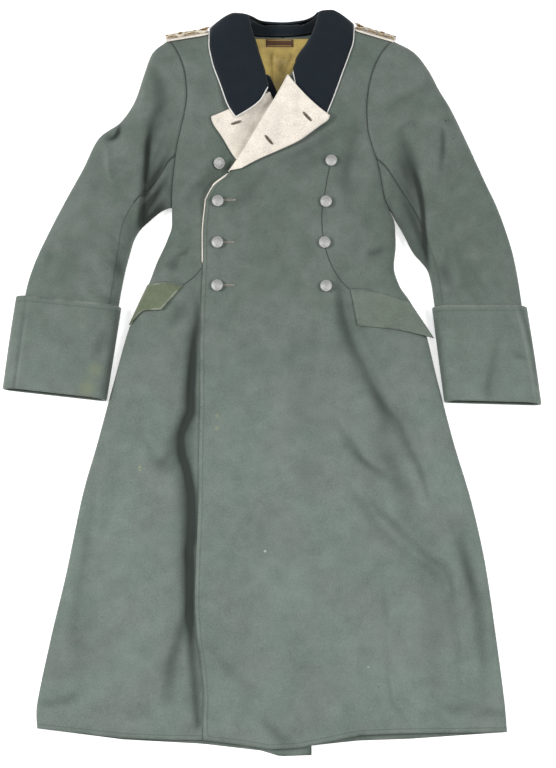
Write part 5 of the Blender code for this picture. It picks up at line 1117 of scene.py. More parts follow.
# Collar: a wide fall of near-black fine cloth over a low stand, its folded crown standing
# up at the back of the neck. The fall's edge is bound with white piping.
COLLAR = table("seam_x seam_y seam_z fold_x fold_y fold_z bend_x bend_y bend_z edge_x edge_y edge_z",
               (-0.018, 0.512, 0.0445, -0.008, 0.514, 0.0480, -0.026, 0.480, 0.0500, -0.066, 0.457, 0.0486),
               (-0.036, 0.540, 0.0460, -0.019, 0.550, 0.0500, -0.047, 0.516, 0.0510, -0.079, 0.478, 0.0486),
               (-0.053, 0.573, 0.0465, -0.031, 0.586, 0.0510, -0.061, 0.556, 0.0510, -0.093, 0.518, 0.0472),
               (-0.065, 0.604, 0.0470, -0.040, 0.621, 0.0520, -0.072, 0.595, 0.0520, -0.109, 0.565, 0.0468),
               (-0.071, 0.624, 0.0450, -0.045, 0.644, 0.0515, -0.080, 0.626, 0.0530, -0.115, 0.600, 0.0476),
               (-0.073, 0.637, 0.0340, -0.047, 0.658, 0.0490, -0.084, 0.655, 0.0500, -0.1150, 0.629,
                0.0420),
               (-0.063, 0.640, 0.0210, -0.041, 0.660, 0.0420, -0.078, 0.668, 0.0300, -0.102, 0.652, 0.0130),
               (-0.048, 0.638, 0.0120, -0.030, 0.657, 0.0350, -0.058, 0.668, 0.0000, -0.086, 0.642, 0),
               (-0.020, 0.634, 0.0095, -0.010, 0.654, 0.0300, -0.026, 0.664, 0, -0.050, 0.612, 0),
               (0.020, 0.633, 0.0090, 0.020, 0.653, 0.0290, 0.020, 0.662, 0, 0.020, 0.604, 0),
               (0.058, 0.636, 0.0095, 0.050, 0.655, 0.0300, 0.066, 0.667, 0, 0.090, 0.614, 0),
               (0.086, 0.643, 0.0120, 0.071, 0.659, 0.0350, 0.096, 0.669, 0.0000, 0.122, 0.648, 0),
               (0.097, 0.650, 0.0210, 0.082, 0.662, 0.0420, 0.116, 0.672, 0.0300, 0.140, 0.657, 0.0130),
               (0.103, 0.652, 0.0340, 0.088, 0.665, 0.0490, 0.120, 0.664, 0.0500, 0.1500, 0.638, 0.0420),
               (0.099, 0.634, 0.0475, 0.085, 0.648, 0.0515, 0.116, 0.632, 0.0530, 0.148, 0.607, 0.0480),
               (0.091, 0.612, 0.0475, 0.078, 0.622, 0.0520, 0.106, 0.600, 0.0515, 0.139, 0.576, 0.0472),
               (0.077, 0.586, 0.0468, 0.066, 0.596, 0.0510, 0.094, 0.566, 0.0490, 0.126, 0.540, 0.0456),
               (0.059, 0.566, 0.0462, 0.050, 0.570, 0.0490, 0.076, 0.526, 0.0470, 0.112, 0.500, 0.0440),
               (0.044, 0.551, 0.0450, 0.039, 0.547, 0.0468, 0.050, 0.486, 0.0430, 0.092, 0.450, 0.0415))
FALL_WALL = 0.002
FALL_STEPS = fine_steps((0, 0.05, 0.10, 0.16, 0.25, 0.4, 0.6, 0.8, 1), 4)
NECK_CENTRE = np.array((0.018, 0.600))
COLLAR_ROWS = 141
COLLAR_CLOTH = wool_material("collar_wool", (0.0075, 0.0130, 0.0190), (0.0075, 0.0130, 0.0190), wear=0.03,
                             bump=0.0004)


def curve_through_hull(points, shares):
    """A smooth curve from the first point to the last, drawn towards the two between."""
    start, near, far, end = points
    joint = near + 0.65 * (far - near)
    result = []
    for share in shares:
        a, b, c = (start, near, joint) if share < 0.5 else (joint, far, end)
        t = 2 * share if share < 0.5 else 2 * share - 1
        result.append((1 - t) ** 2 * a + 2 * t * (1 - t) * b + t * t * c)
    return np.array(result)


def collar_stations(count):
    """Seam, fold, bend and edge points at evenly shared places round the collar."""
    at = np.linspace(0, len(COLLAR["fold_x"]) - 1, count)
    values = {name: through(column, at) for name, column in COLLAR.items()}
    return [np.column_stack([values[part + axis] for axis in ("_x", "_y", "_z")])
            for part in ("seam", "fold", "bend", "edge")]


def cord_material(name, bright, dark, roughness, metallic):
    """A twisted metal thread cord."""
    material, tree, shader = new_material(name, roughness, Metallic=metallic)
    cloth = put(tree, "ShaderNodeUVMap", {}, uv_map="cloth").outputs[0]
    spot = put(tree, "ShaderNodeTexCoord", {}).outputs["Object"]
    twist = put(tree, "ShaderNodeVectorMath", {0: cloth, 1: (3600.0, 2600.0, 0.0)},
                operation="DOT_PRODUCT").outputs[1]
    strand = maths(tree, "ADD", maths(tree, "MULTIPLY", maths(tree, "SINE", twist), 0.5), 0.5)
    tarnish = grain(tree, spot, 180.0, 3.0)
    # Darker in the grooves of the twist and paler on the strands' crests as painted shade and highlight, with
    # tarnish from the noise
    share = maths(tree, "MULTIPLY", spread(tree, strand, 0.1, 0.7),
                  spread(tree, tarnish, 0.2, 0.6, 0.55, 1.0))
    tree.links.new(mixed(tree, share, dark, bright), shader.inputs["Base Color"])
    relief = put(tree, "ShaderNodeBump", {"Height": strand, "Distance": 0.0003, "Strength": 0.8})
    tree.links.new(relief.outputs[0], shader.inputs["Normal"])
    return material


def tube_grid(path, radius, sides=10, flat=1.0):
    """Rings of points round a path, drawn in at both ends."""
    path = np.array(path, float)
    tangent = unit(np.gradient(path, axis=0))
    side = unit(np.cross(tangent, (0, 0, 1)))
    top = np.cross(side, tangent)
    turns = np.linspace(0, math.tau, sides + 1)
    ring = np.cos(turns)[None, :, None] * side[:, None] + flat * np.sin(turns)[None, :, None] * top[:, None]
    size = np.full(len(path), radius)
    size[0] = size[-1] = 0.3 * radius
    rings = path[:, None] + size[:, None, None] * ring
    rings[:, -1] = rings[:, 0]
    return rings


def cord(name, path, radius, material, nodes=(), sides=10, flat=1.0):
    """A round cord sewn down along a path of points."""
    piece = panel(name, tube_grid(path, radius, sides, flat), 0, None, material, around=True)
    if nodes:
        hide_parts(*nodes)
    return piece


def beyond_rim(line, before):
    """Steps out from a rim, square to it and in the plane of the cloth before it."""
    along = unit(np.gradient(line, axis=0))
    out = line - before
    out = out - along * np.sum(out * along, axis=1, keepdims=True)
    return PIPING_REACH * unit(out)


PIPING_RADIUS = 0.0011
PIPING_REACH = PIPING_RADIUS + GAP
CROWN_COLUMN = 12
WHITE_CORD = cord_material("white_piping", (0.95, 0.94, 0.92, 1), (0.80, 0.79, 0.77, 1), 0.7, 0.0)
seam, fold, bend, edge = collar_stations(COLLAR_ROWS)
inward = np.zeros_like(fold)
inward[:, :2] = unit(NECK_CENTRE - fold[:, :2])
start = fold + 0.0050 * inward - (0, 0, 0.004)
crown = fold + 0.0020 * inward + (0, 0, 0.004)
fall = np.array([curve_through_hull([s, f, b, e], FALL_STEPS) for s, f, b,
                 e in zip(start, crown, bend, edge)])
fall_middle = fall - FALL_WALL / 2 * normals(fall, 1)
right_end = (fall_middle[0] + beyond_rim(fall_middle[0], fall_middle[1]))[CROWN_COLUMN:]
left_end = (fall_middle[-1] + beyond_rim(fall_middle[-1], fall_middle[-2]))[CROWN_COLUMN:]
away = beyond_rim(fall_middle[:, -1], fall_middle[:, -2])
rim = fall_middle[:, -1] + away
piping = np.concatenate((right_end, right_end[-1:] + away[:1], rim, left_end[-1:] + away[-1:],
                         left_end[::-1]))
piping[:, 2] = np.maximum(piping[:, 2], PIPING_RADIUS)
cord("collar_piping_cord", piping, PIPING_RADIUS, WHITE_CORD, ["collar_piping"])
piece = panel("collar_fall_cloth", fall, FALL_WALL, (0, 0, 1), COLLAR_CLOTH)
cut(["collar_fall"])
steepness = 5 * np.abs(np.gradient(fold[:, 2]))[:, None]
stand_top = start + (0.0004 + 1.4 * steepness) * inward - (0, 0, 1) * (0.0020 + 1.2 * steepness)
margin = 5
stand_top = stand_top[margin:-margin]
seam = seam[margin:-margin]
stand = stand_top[:, None] + (seam - stand_top)[:, None] * np.linspace(0, 1, 9)[None, :, None]
piece = panel("collar_stand_cloth", stand, FACING, (0, 0, 1), COLLAR_CLOTH)
cut(["collar_stand"])

# Lapels: the front turned over on itself and faced with pale stone felted wool, which
# rolls round the folded edge. Worn along its edges.
LAPEL_LEFT = table("fold_x fold_y edge_x edge_y lift",
                   (0.030, 0.536, 0.110, 0.454, 0.0062), (0.009, 0.496, 0.083, 0.435, 0.0050),
                   (-0.014, 0.458, 0.050, 0.411, 0.0037), (-0.036, 0.419, 0.012, 0.393, 0.0025),
                   (-0.058, 0.382, -0.026, 0.376, 0.0021), (-0.080, 0.351, -0.060, 0.358, 0.0010))
LAPEL_RIGHT = table("fold_x fold_y edge_x edge_y lift",
                    (-0.007, 0.508, -0.118, 0.455, 0.0021), (0.008, 0.474, -0.098, 0.428, 0.0021),
                    (0.020, 0.440, -0.078, 0.397, 0.0021), (0.034, 0.408, -0.055, 0.371, 0.0021),
                    (0.050, 0.378, -0.010, 0.352, 0.0021), (0.066, 0.350, 0.045, 0.342, 0.0021))
LAPEL_WRAP = 0.012        # length of facing that shows under the folded edge
LAPEL_ROWS = 64
LAPEL_STATIONS = np.linspace(0.06, 0.94, 26)
LAPEL_END = 0.97
FOLD_RADIUS = 0.0035
LAPEL_GAP = 0.0005
LAPEL_ROUND = {"left": 0.07, "right": 0.12}
LAPEL_BOW = {"left": 0.0045, "right": 0.0015}
TUCK_GAP = {"left": 0.0009, "right": 0.0020}
INSIDE_FOLD = 0.003
STONE = wool_material("stone_wool", (0.76, 0.70, 0.61), (0.79, 0.73, 0.64), wear=0.0, twill=0.4,
                      bump=0.0006)

# The right lapel lies in the shade of the left one
LAPEL_SHADES = {"left": (), "right": (
    (0, ((-8, 505, 12, 0.3), (-26, 472, 16, 0.34), (-42, 441, 15, 0.3), (-53, 412, 12, 0.22),
         (-62, 387, 8, 0.12))),
)}


def lapel(side, rows, height):
    """Underside and facing of one lapel, lying on its own front."""
    shares = np.linspace(0, LAPEL_END, LAPEL_ROWS)
    fold_line = sample(rows, "fold_x fold_y", shares)
    edge_line = sample(rows, "edge_x edge_y", shares)
    lift = through(rows["lift"], shares * (len(rows["lift"]) - 1))
    under, facing = [], []
    for r in range(LAPEL_ROWS):
        near_top = max(0, 1 - shares[r] / LAPEL_ROUND[side])
        run = (edge_line[r] - fold_line[r]) * (1 - 0.055 * near_top ** 2)
        width = np.linalg.norm(run)
        down = LAPEL_BOW[side] * max(0, 1 - shares[r] / 0.3) * unit(fold_line[-1] - fold_line[0])
        places = np.concatenate(([0.0015 / width], LAPEL_STATIONS, [1]))
        plan = fold_line[r] + run * places[:, None] + down * (4 * places * (1 - places))[:, None]
        bearing = fold_line[r] + run * np.maximum(places, INSIDE_FOLD / width)[:, None]
        base = height(bearing[:, 0], bearing[:, 1]) + GAP + lift[r] + FACING
        under.append(np.column_stack((plan, base)))
        near_fold = height(*(fold_line[r] + INSIDE_FOLD * run / width))
        on_top = near_fold + GAP + lift[r] + LAPEL_GAP + 2 * FACING
        below = near_fold - WOOL - TUCK_GAP[side] - FACING
        tucked = fold_line[r] + run * min(LAPEL_WRAP / width, 0.8)
        points = [(*tucked, height(*tucked) - WOOL - TUCK_GAP[side] - FACING)]
        middle = (on_top + below) / 2
        for turn in np.linspace(-90, 90, 11):
            out = fold_line[r] - run / width * FOLD_RADIUS * math.cos(math.radians(turn))
            points.append((*out, middle + (on_top - below) / 2 * math.sin(math.radians(turn))))
        for share in (*LAPEL_STATIONS, 1 - 0.0010 / width):
            place = fold_line[r] + run * share + down * 4 * share * (1 - share)
            points.append((*place, height(*place) + GAP + lift[r] + LAPEL_GAP + 2 * FACING))
        facing.append(points)
    under = np.array(under, float)
    facing = np.array(facing, float)
    facing[0, :, :2] += 0.0010 * unit(facing[1, :, :2] - facing[0, :, :2])
    piece = panel("lapel_" + side + "_cloth", under, FACING, (0, 0, 1), FRONT_WOOL)
    cut(["lapel_" + side])
    shade = crease_lines(LAPEL_SHADES[side], facing[..., 0], facing[..., 1])
    piece = panel("facing_" + side + "_cloth", facing, FACING, (0, 0, 1), STONE, shade)
    cut(["facing_" + side])
    return facing


facing_left = lapel("left", LAPEL_LEFT, on_left)
facing_right = lapel("right", LAPEL_RIGHT, on_right)

# Pocket flaps: one on each hip, a double layer of wool sewn along its top edge and loose
# below. The flap on the wearer's right is a little yellower.
FLAP_LEFT = table("top_x top_y low_x low_y lift",
                  (0.140, 0.136, 0.152, 0.071, 0.0010), (0.176, 0.133, 0.214, 0.064, 0.0020),
                  (0.246, 0.113, 0.2865, 0.049, 0.0035))
FLAP_RIGHT = table("top_x top_y low_x low_y lift",
                   (-0.160, 0.143, -0.197, 0.099, 0.0035), (-0.192, 0.149, -0.228, 0.098, 0.0025),
                   (-0.223, 0.148, -0.2545, 0.074, 0.0010))
FLAP_WALL = 0.0022
FLAP_GAP = 0.0010
FLAP_OVERHANG = {"left": 0.015, "right": 0.004}
FLAP_CLOTH = {"left": wool_material("flap_wool_left", (0.138, 0.170, 0.138), (0.138, 0.170, 0.138),
                                    wear=0.15, faded=0.2),
              "right": wool_material("flap_wool_right", (0.130, 0.156, 0.100), (0.130, 0.156, 0.100),
                                     wear=0.7)}

for side, rows, height, outward in (("left", FLAP_LEFT, on_left, 1), ("right", FLAP_RIGHT, on_right, -1)):
    u, v = np.meshgrid(np.linspace(0, 1, 34), np.linspace(0, 1, 22))
    top_x, top_y, low_x, low_y, lift = (through(column,
                                                u * (len(rows["lift"]) - 1)) for column in rows.values())
    x = top_x + (low_x - top_x) * v
    y = top_y + (low_y - top_y) * v
    shift = outward * FLAP_OVERHANG[side] * u
    z = height(x - shift, y) + FLAP_GAP + FLAP_WALL + lift * v * v
    points = np.stack((x, y, z), axis=2)
    piece = panel("flap_" + side + "_cloth", points, FLAP_WALL, (0, 0, 1), FLAP_CLOTH[side])
    cut(["flap_" + side])

# Buttons: domed, pebbled, of dull grey metal, each on a wire shank sewn through the cloth.
# Two rows of four close and dress the front.
BUTTONS = (("button_left_1", 0.107, 0.375, "left"), ("button_left_2", 0.097, 0.299, "left"),
           ("button_left_3", 0.094, 0.223, "left"), ("button_left_4", 0.096, 0.143, "left"),
           ("button_right_1", -0.098, 0.373, "right"), ("button_right_2", -0.098, 0.300, "left"),
           ("button_right_3", -0.098, 0.223, "left"), ("button_right_4", -0.098, 0.144, "left"))
BUTTON_RADIUS = 0.0105
BUTTON_GAP = 0.0005
BUTTON_PROFILE = ((0.28, 0), (0.28, 0.0036), (0.90, 0.0037), (0.97, 0.0039), (1, 0.0044), (1, 0.0050),
                  (0.97, 0.0055), (0.92, 0.0055), (0.87, 0.0056), (0.66, 0.0068), (0.40, 0.0075),
                  (0.18, 0.0078), (0, 0.0078))


def metal_material(name, colour, dark, pebbles, roughness):
    """A dull metal with a pebbled face, darker in its hollows."""
    material, tree, shader = new_material(name, roughness, Metallic=0.35, Specular_IOR_Level=0.4)
    spot = put(tree, "ShaderNodeTexCoord", {}).outputs["Object"]
    cells = put(tree, "ShaderNodeTexVoronoi", {"Vector": spot, "Scale": pebbles}).outputs["Distance"]
    worn = grain(tree, spot, 260.0, 3.0)
    dome = spread(tree, cells, 0.15, 0.75, 1.0, 0.0)
    colour = mixed(tree, spread(tree, worn, 0.3, 0.7), dark, colour)
    colour = mixed(tree, spread(tree, dome, 0.0, 0.6), dark, colour)
    tree.links.new(colour, shader.inputs["Base Color"])
    tree.links.new(spread(tree, worn, 0.2, 0.8, roughness - 0.1, roughness + 0.15),
                   shader.inputs["Roughness"])
    height = maths(tree, "ADD", dome, maths(tree, "MULTIPLY", worn, 0.5))
    relief = put(tree, "ShaderNodeBump", {"Height": height, "Distance": 0.0002, "Strength": 0.7})
    tree.links.new(relief.outputs[0], shader.inputs["Normal"])
    return material


GREY_METAL = metal_material("grey_metal", (0.52, 0.52, 0.50, 1), (0.37, 0.37, 0.36, 1), 900.0, 0.42)


def button(name, node, place, normal, radius, material, steps=28):
    """A domed button turned on its axis, standing on the cloth."""
    bm = bmesh.new()
    last = None
    for share, height in BUTTON_PROFILE:
        vert = bm.verts.new((share * radius, 0, height * radius / BUTTON_RADIUS))
        if last:
            bm.edges.new((last, vert))
        last = vert
    bmesh.ops.spin(bm, geom=bm.verts[:] + bm.edges[:], cent=(0, 0, 0), axis=(0, 0, 1), angle=math.tau,
                   steps=steps, use_merge=True)
    bmesh.ops.remove_doubles(bm, verts=bm.verts, dist=1e-7)
    bmesh.ops.holes_fill(bm, edges=bm.edges, sides=0)
    bmesh.ops.recalc_face_normals(bm, faces=bm.faces)
    turn = Vector(normal).to_track_quat("Z", "Y").to_matrix().to_4x4()
    bmesh.ops.transform(bm, matrix=Matrix.Translation(place) @ turn, verts=bm.verts)
    piece = new_piece(name, bm, material)
    piece.data.set_sharp_from_angle(angle=math.radians(50))
    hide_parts(node)
    return piece


for name, x, y, side in BUTTONS:
    height = on_left if side == "left" else on_right
    reach = 0.006
    z = float(height(x, y))
    slope_x = float(height(x + reach, y) - height(x - reach, y)) / (2 * reach)
    slope_y = float(height(x, y + reach) - height(x, y - reach)) / (2 * reach)
    tilt = Vector((-slope_x, -slope_y, 1)).normalized()
    turns = np.linspace(0, math.tau, 9)[:-1]
    foot_x = BUTTON_PROFILE[0][0] * BUTTON_RADIUS * np.cos(turns)
    foot_y = BUTTON_PROFILE[0][0] * BUTTON_RADIUS * np.sin(turns)
    swell = np.max(height(x + foot_x, y + foot_y) - z - slope_x * foot_x - slope_y * foot_y)
    place = Vector((x, y, z)) + tilt * (BUTTON_GAP + max(0, swell))
    button(name + "_dome", name, place, tilt, BUTTON_RADIUS, GREY_METAL)

# Shoulder boards: a pale felt underlay, a plaited silver cord edged with bronze over it,
# and a small gilt button at the neck end. They follow the slope of the shoulders.
BOARDS = {"left": {"line": SHOULDER_LEFT, "neck": 0.1590, "tip": 0.2260},
          "right": {"line": SHOULDER_RIGHT, "neck": -0.1235, "tip": -0.1960}}
BOARD_WIDTH = 0.045
BOARD_SLOPE = math.radians(57)
BOARD_WALL = 0.0025
BOARD_SHARES = np.linspace(0, 1, 17)
BOARD_BACK = 0.0135


def board_frame(line, x):
    """A point where a board bears on the shoulder roll, and its three directions."""
    along = unit(np.array((1.0, line["slope"], 0)))
    back = np.array((-along[1], along[0], 0))
    rise = float(plateau(0, 0.61)[0]) - SHOULDER_SEAM
    turn = math.atan2(math.sin(BOARD_SLOPE) * SHOULDER_ROLL, math.cos(BOARD_SLOPE) * rise)
    seam_point = np.array((x, line["y"] + line["slope"] * (x - line["x"]), 0))
    bearing = seam_point + back * SHOULDER_ROLL * (math.sin(turn) - 1)
    bearing[2] = SHOULDER_SEAM + rise * math.cos(turn)
    down = math.cos(BOARD_SLOPE) * back - np.array((0, 0, math.sin(BOARD_SLOPE)))
    out = math.sin(BOARD_SLOPE) * back + np.array((0, 0, math.cos(BOARD_SLOPE)))
    return bearing, along, down, out


def board_grid(line, neck, tip, clearance, inset, stations):
    """Points over a board: rows from its square sleeve end to its round neck end."""
    rows = []
    for share in np.linspace(0, 1, stations):
        bearing, along, down, out = board_frame(line, tip + (neck - tip) * share)
        nose = 0.010 * np.sign(neck - tip) * ease((share - 0.6) / 0.4)
        half = BOARD_WIDTH / 2 - inset
        narrow = math.sqrt(max(0.06, 1 - (max(0, share - 0.80) / 0.215) ** 2))
        centre = BOARD_WIDTH / 2 - BOARD_BACK
        rows.append([bearing + along * nose + down * (centre + half * (2 * q - 1) * narrow)
                     + out * clearance for q in BOARD_SHARES])
    return np.array(rows), out


GILT = metal_material("gilt", (0.62, 0.42, 0.16, 1), (0.22, 0.13, 0.05, 1), 900.0, 0.35)
SILVER = cord_material("silver_cord", (0.86, 0.84, 0.78, 1), (0.42, 0.36, 0.26, 1), 0.45, 0.15)
BRONZE = cord_material("bronze_cord", (0.46, 0.29, 0.10, 1), (0.12, 0.07, 0.03, 1), 0.45, 0.3)
PALE_CORD = cord_material("pale_cord", (0.84, 0.79, 0.68, 1), (0.66, 0.58, 0.44, 1), 0.6, 0.05)

# Strands of the plait: phase, reach across the board, height, radius and cord
PLAIT_STRANDS = ((0.0, 0.30, 0.0030, 0.0027, SILVER), (math.pi, 0.30, 0.0030, 0.0027, SILVER),
                 (0.0, 0.44, 0.0034, 0.0013, BRONZE), (math.pi, 0.44, 0.0034, 0.0013, BRONZE),
                 (0.0, 0.14, 0.0048, 0.0012, BRONZE), (math.pi, 0.14, 0.0048, 0.0012, BRONZE))
PLAIT_SHIFT = {"left": 0.02, "right": 0.13}     # the right plait has slid back on its underlay
PALE_STRANDS = {"left": 0, "right": 3}          # strands that are pale cord on each board
PLAIT_STEPS = 97
BOARD_STEPS = 30

for side, board in BOARDS.items():
    line, neck, tip = board.values()
    base, out = board_grid(line, neck, tip, GAP + BOARD_WALL, 0, BOARD_STEPS)
    piece = panel("board_" + side + "_felt", base, BOARD_WALL, out, STONE)
    cut(["board_" + side])
    level = GAP + BOARD_WALL + GAP
    middle, out = board_grid(line, neck, tip, level, 0.003, PLAIT_STEPS)
    spans = middle[:, -1] - middle[:, 0]
    centre = (middle[:, -1] + middle[:, 0]) / 2
    shares = np.linspace(0, 1, PLAIT_STEPS)
    turns = math.tau * 2.0 * shares
    for k, (phase, reach, rise, thick, material) in enumerate(PLAIT_STRANDS):
        wave = reach * np.sin(turns + phase) + PLAIT_SHIFT[side]
        lift = rise + 0.0009 * np.cos(2 * (turns + phase) + k * math.pi)
        path = centre + spans * wave[:, None] + out * lift[:, None]
        nodes = ["plait_" + side] if k == 0 else ()
        if k < PALE_STRANDS[side]:
            material = PALE_CORD
        cord("plait_" + side + "_strand_" + str(k + 1), path[1:-7], thick, material, nodes)
    place = Vector(middle[-8].mean(axis=0)) + Vector(out) * 0.0048
    button("board_button_" + side + "_dome", "board_button_" + side, place, out, 0.0060, GILT, 20)

# Front piping: the pale edge of the facing shows beside the front edge below the lapel,
# from the break down to the third row of buttons.
FRONT_PIPING_LOW = 0.186
PIPING_ROLL = 0.325       # above this the facing rolls out a little further
edge_line = left_grid[:, -1]
shown = (edge_line[:, 1] > FRONT_PIPING_LOW) & (edge_line[:, 1] < LAPEL_LEFT["fold_y"][-1] + 0.002)
path = edge_line[shown] - (0, 0, WOOL / 2)
reach = np.gradient(path, axis=0)[:, (1, 0, 2)] * (-1, 1, 0)
path = path + PIPING_REACH * unit(reach)
cord("front_piping_edge", path, PIPING_RADIUS, STONE, ["front_piping"])
cord("front_piping_roll", path[path[:, 1] > PIPING_ROLL] + (0, 0, 0.0004), 0.0018, STONE,
     flat=0.7)

# Stand end: the dark collar cloth shows below the fall's inner edge. It is a single layer,
# turned in over the lining and felled down.
STAND_END_STEPS = 12
corners = np.array(((-0.0165, 0.5515, 0.0200), (-0.0035, 0.5505, 0.0120),
                    (-0.0140, 0.4900, 0.0200), (0.0130, 0.5090, 0.0120)))
u, v = np.meshgrid(np.linspace(0, 1, STAND_END_STEPS), np.linspace(0, 1, STAND_END_STEPS))
turned_in = ((1 - v)[..., None] * ((1 - u)[..., None] * corners[2] + u[..., None] * corners[3])
             + v[..., None] * ((1 - u)[..., None] * corners[0] + u[..., None] * corners[1]))
turned_in[..., 2] += 0.003 * np.sin(math.pi * u)
piece = panel("stand_end", turned_in, SATIN, (0, 0, 1), COLLAR_CLOTH)
cut([])

# Lining: gold satin inside the back of the neck, creased down the middle and sewn to the
# fronts and the collar seam, with a small woven label left bare.
LINING_ROWS = 70
LINING_COLUMNS = 80
LINING = table("y right left rise", (0.400, -0.100, 0.130, 0), (0.490, -0.098, 0.126, 0),
               (0.520, -0.094, 0.122, 0.0034), (0.570, -0.088, 0.117, 0.0036),
               (0.600, -0.074, 0.104, 0.0036),
               (0.628, -0.054, 0.086, 0.0036))
LINING_FOLDS = table("x0 y0 x1 y1 bow width rise",
                     (0.000, 0.603, 0.002, 0.53, 0.002, 0.004, 0.0030),
                     (-0.003, 0.602, 0.033, 0.584, -0.006, 0.006, 0.0030),
                     (-0.030, 0.605, -0.012, 0.52, 0.004, 0.006, 0.0026),
                     (-0.042, 0.590, -0.034, 0.50, -0.004, 0.005, 0.0022),
                     (0.034, 0.604, 0.010, 0.55, 0.004, 0.005, 0.0026),
                     (0.055, 0.600, 0.024, 0.545, -0.003, 0.004, 0.0022),
                     (0.030, 0.560, -0.004, 0.535, 0.004, 0.006, 0.0024),
                     (0.050, 0.585, 0.058, 0.550, 0.002, 0.004, 0.0018))


def satin_material():
    """A worn gold satin, with painted sheen streaks along its threads."""
    material, tree, shader = new_material("gold_satin", 0.38, Sheen_Weight=0.1, Specular_IOR_Level=0.6)
    spot = put(tree, "ShaderNodeTexCoord", {}).outputs["Object"]
    threads_and_sheen = grain(tree, put(tree, "ShaderNodeMapping", {0: spot, 3: (1.0, 0.05, 1.0)}).outputs[0], 2200.0,
                    2.0)
    stain = grain(tree, spot, 45.0, 4.0)
    colour = mixed(tree, spread(tree, stain, 0.35, 0.7), (0.62, 0.44, 0.105, 1), (0.40, 0.275, 0.060, 1))
    # Painted sheen: paler streaks along the threads
    colour = mixed(tree, maths(tree, "MULTIPLY", threads_and_sheen, 0.35), colour, (0.90, 0.75, 0.34, 1))
    tree.links.new(colour, shader.inputs["Base Color"])
    tree.links.new(spread(tree, stain, 0.3, 0.7, 0.30, 0.48), shader.inputs["Roughness"])
    height = maths(tree, "ADD", maths(tree, "MULTIPLY", threads_and_sheen, 0.2), stain)
    relief = put(tree, "ShaderNodeBump", {"Height": height, "Distance": 0.0012, "Strength": 0.7})
    tree.links.new(relief.outputs[0], shader.inputs["Normal"])
    return material


GOLD_SATIN = satin_material()
y, right, left, rise = (through(column, np.linspace(0, 5, LINING_ROWS)) for column in LINING.values())
share = np.linspace(0, 1, LINING_COLUMNS)
x = right[:, None] + (left - right)[:, None] * share
y = np.repeat(y[:, None], LINING_COLUMNS, axis=1)
ripple = np.maximum(0, creases(LINING_FOLDS, x, y))
satin = np.stack((x, y, rise[:, None] + WOOL + GAP + SATIN + ripple), axis=2)
LABEL_TAB = wool_material("label_weave", (0.10, 0.05, 0.03), (0.10, 0.05, 0.03), wear=0.3, twill=0.5,
                          bump=0.0003)
level = satin[-1, 0, 2] + 0.0012
x, y = np.meshgrid(np.linspace(-0.012, 0.039, 20), np.linspace(0.611, 0.6265, 8))
tab = np.stack((x, y, np.full(x.shape, level)), axis=2)
piece = panel("label_tab", tab, 0.0006, (0, 0, 1), LABEL_TAB)
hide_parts("label")
GOLD_THREAD = cord_material("gold_thread", (0.70, 0.45, 0.14, 1), (0.30, 0.18, 0.05, 1), 0.5, 0.2)
for k, row in enumerate((1, 6)):
    woven_edge = tab[row, 1:-1] + (0, 0, 0.0001)
    cord("label_woven_edge_" + str(k + 1), woven_edge, 0.0007, GOLD_THREAD, flat=0.4)
piece = panel("lining_satin", satin, SATIN, (0, 0, 1), GOLD_SATIN)
cut(["lining"])

# Sewn detail: worked buttonholes, the darts that run from the front to the pockets, the
# welts above the flaps, and the seams round the armholes. All are thread or a turned edge,
# except the buttonholes' cuts, which are dark cords of painted shade.
DARK_THREAD_AND_SLIT_SHADE = cord_material("dark_thread_and_slit_shade", (0.075, 0.085, 0.075, 1), (0.030, 0.036, 0.032, 1), 0.8, 0.0)
BROWN_THREAD = cord_material("brown_thread", (0.27, 0.22, 0.17, 1), (0.12, 0.095, 0.07, 1), 0.8, 0.0)
PALE_THREAD = cord_material("pale_thread", (0.36, 0.34, 0.29, 1), (0.22, 0.21, 0.18, 1), 0.8, 0.0)
on_facing_left = surface(facing_left, lambda x, y: on_left(x, y) + 0.005)
on_facing_right = surface(facing_right, lambda x, y: on_right(x, y) + 0.005)


def sewn_line(name, points, height, radius, material, rise=0.0001, flat=0.6):
    """Thread that follows the cloth under it through a few points."""
    points = np.array(points, float)
    along = {"x": points[:, 0], "y": points[:, 1]}
    length = np.linalg.norm(np.diff(points, axis=0), axis=1).sum()
    plan = sample(along, "x y", np.linspace(0, 1, max(8, int(length / 0.003))))
    level = height(plan[:, 0], plan[:, 1]) + rise + flat * radius
    return cord(name, np.column_stack((plan, level)), radius, material, sides=8,
                flat=flat)


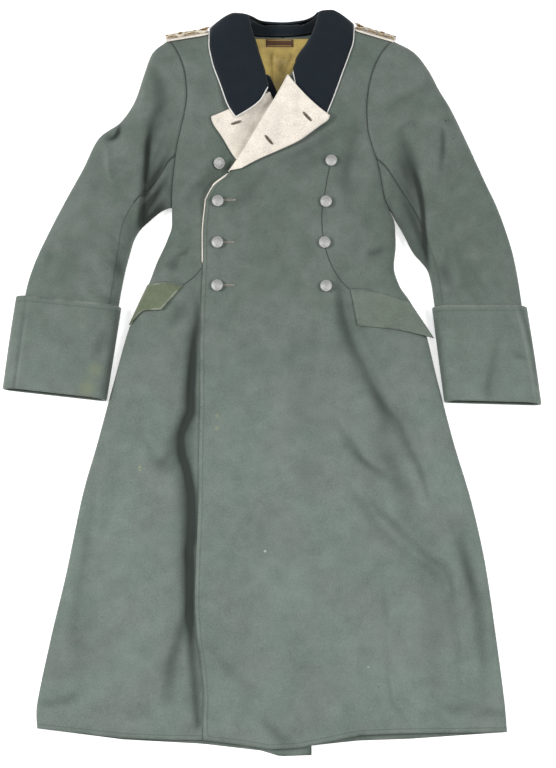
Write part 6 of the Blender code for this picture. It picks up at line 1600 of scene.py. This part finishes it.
def buttonhole(name, start, end, height, material, half=0.0019):
    """A worked buttonhole: two rows of close stitches round a cut, joined at both ends."""
    start, end = np.array(start), np.array(end)
    run = end - start
    aside = np.array((-run[1], run[0])) / np.linalg.norm(run)
    turns = np.linspace(0, math.tau, 33)
    loop = (start + end) / 2 + np.cos(turns)[:, None] * run / 2 + np.sin(turns)[:, None] * aside * half
    level = height(loop[:, 0], loop[:, 1]) + 0.0007
    piece = cord(name, np.column_stack((loop, level)), 0.0008, material, sides=8)
    # The cut is a dark cord: painted shade in the slit
    cut_line = np.linspace(start + 0.12 * run, end - 0.12 * run, 8)
    level = height(cut_line[:, 0], cut_line[:, 1]) + 0.0003
    cord(name + "_cut", np.column_stack((cut_line, level)), 0.0008, DARK_THREAD_AND_SLIT_SHADE, sides=8,
         flat=0.3)
    return piece


buttonhole("buttonhole_lapel_1", (0.056, 0.464), (0.071, 0.447), on_facing_left, BROWN_THREAD)
buttonhole("buttonhole_lapel_2", (-0.013, 0.421), (0.001, 0.404), on_facing_left, BROWN_THREAD)
buttonhole("buttonhole_lapel_3", (-0.074, 0.442), (-0.056, 0.449), on_facing_right, BROWN_THREAD)
for k, (start, end) in enumerate((((-0.090, 0.303), (-0.065, 0.303)), ((-0.090, 0.224), (-0.068, 0.224)),
                                  ((-0.089, 0.145), (-0.066, 0.145)))):
    buttonhole("buttonhole_front_" + str(k + 1), start, end, on_left, PALE_THREAD, 0.0012)
for side, grid in (("left", left_grid), ("right", right_grid)):
    ditch = grid[SKIRT_ROWS - 1:, 0] - (0, 0, 0.0009)
    cord("armhole_seam_" + side, ditch, 0.0007, DARK_THREAD_AND_SLIT_SHADE, sides=8)
sewn_line("dart_left", ((0.104, 0.367), (0.097, 0.329), (0.089, 0.272), (0.091, 0.235), (0.103, 0.189),
                        (0.121, 0.156), (0.138, 0.137)), on_left, 0.0008, DARK_THREAD_AND_SLIT_SHADE, flat=0.35)
sewn_line("dart_right", ((-0.126, 0.178), (-0.137, 0.164), (-0.153, 0.150), (-0.160, 0.144)), on_right,
          0.0008,
          DARK_THREAD_AND_SLIT_SHADE, flat=0.35)
sewn_line("welt_left", ((0.138, 0.1395), (0.160, 0.1405), (0.196, 0.1300), (0.236, 0.1190)), on_left,
          0.0013,
          FIELD_GREY)
sewn_line("welt_right", ((-0.158, 0.1475), (-0.185, 0.1535), (-0.214, 0.1530)), on_right, 0.0013,
          FIELD_GREY)
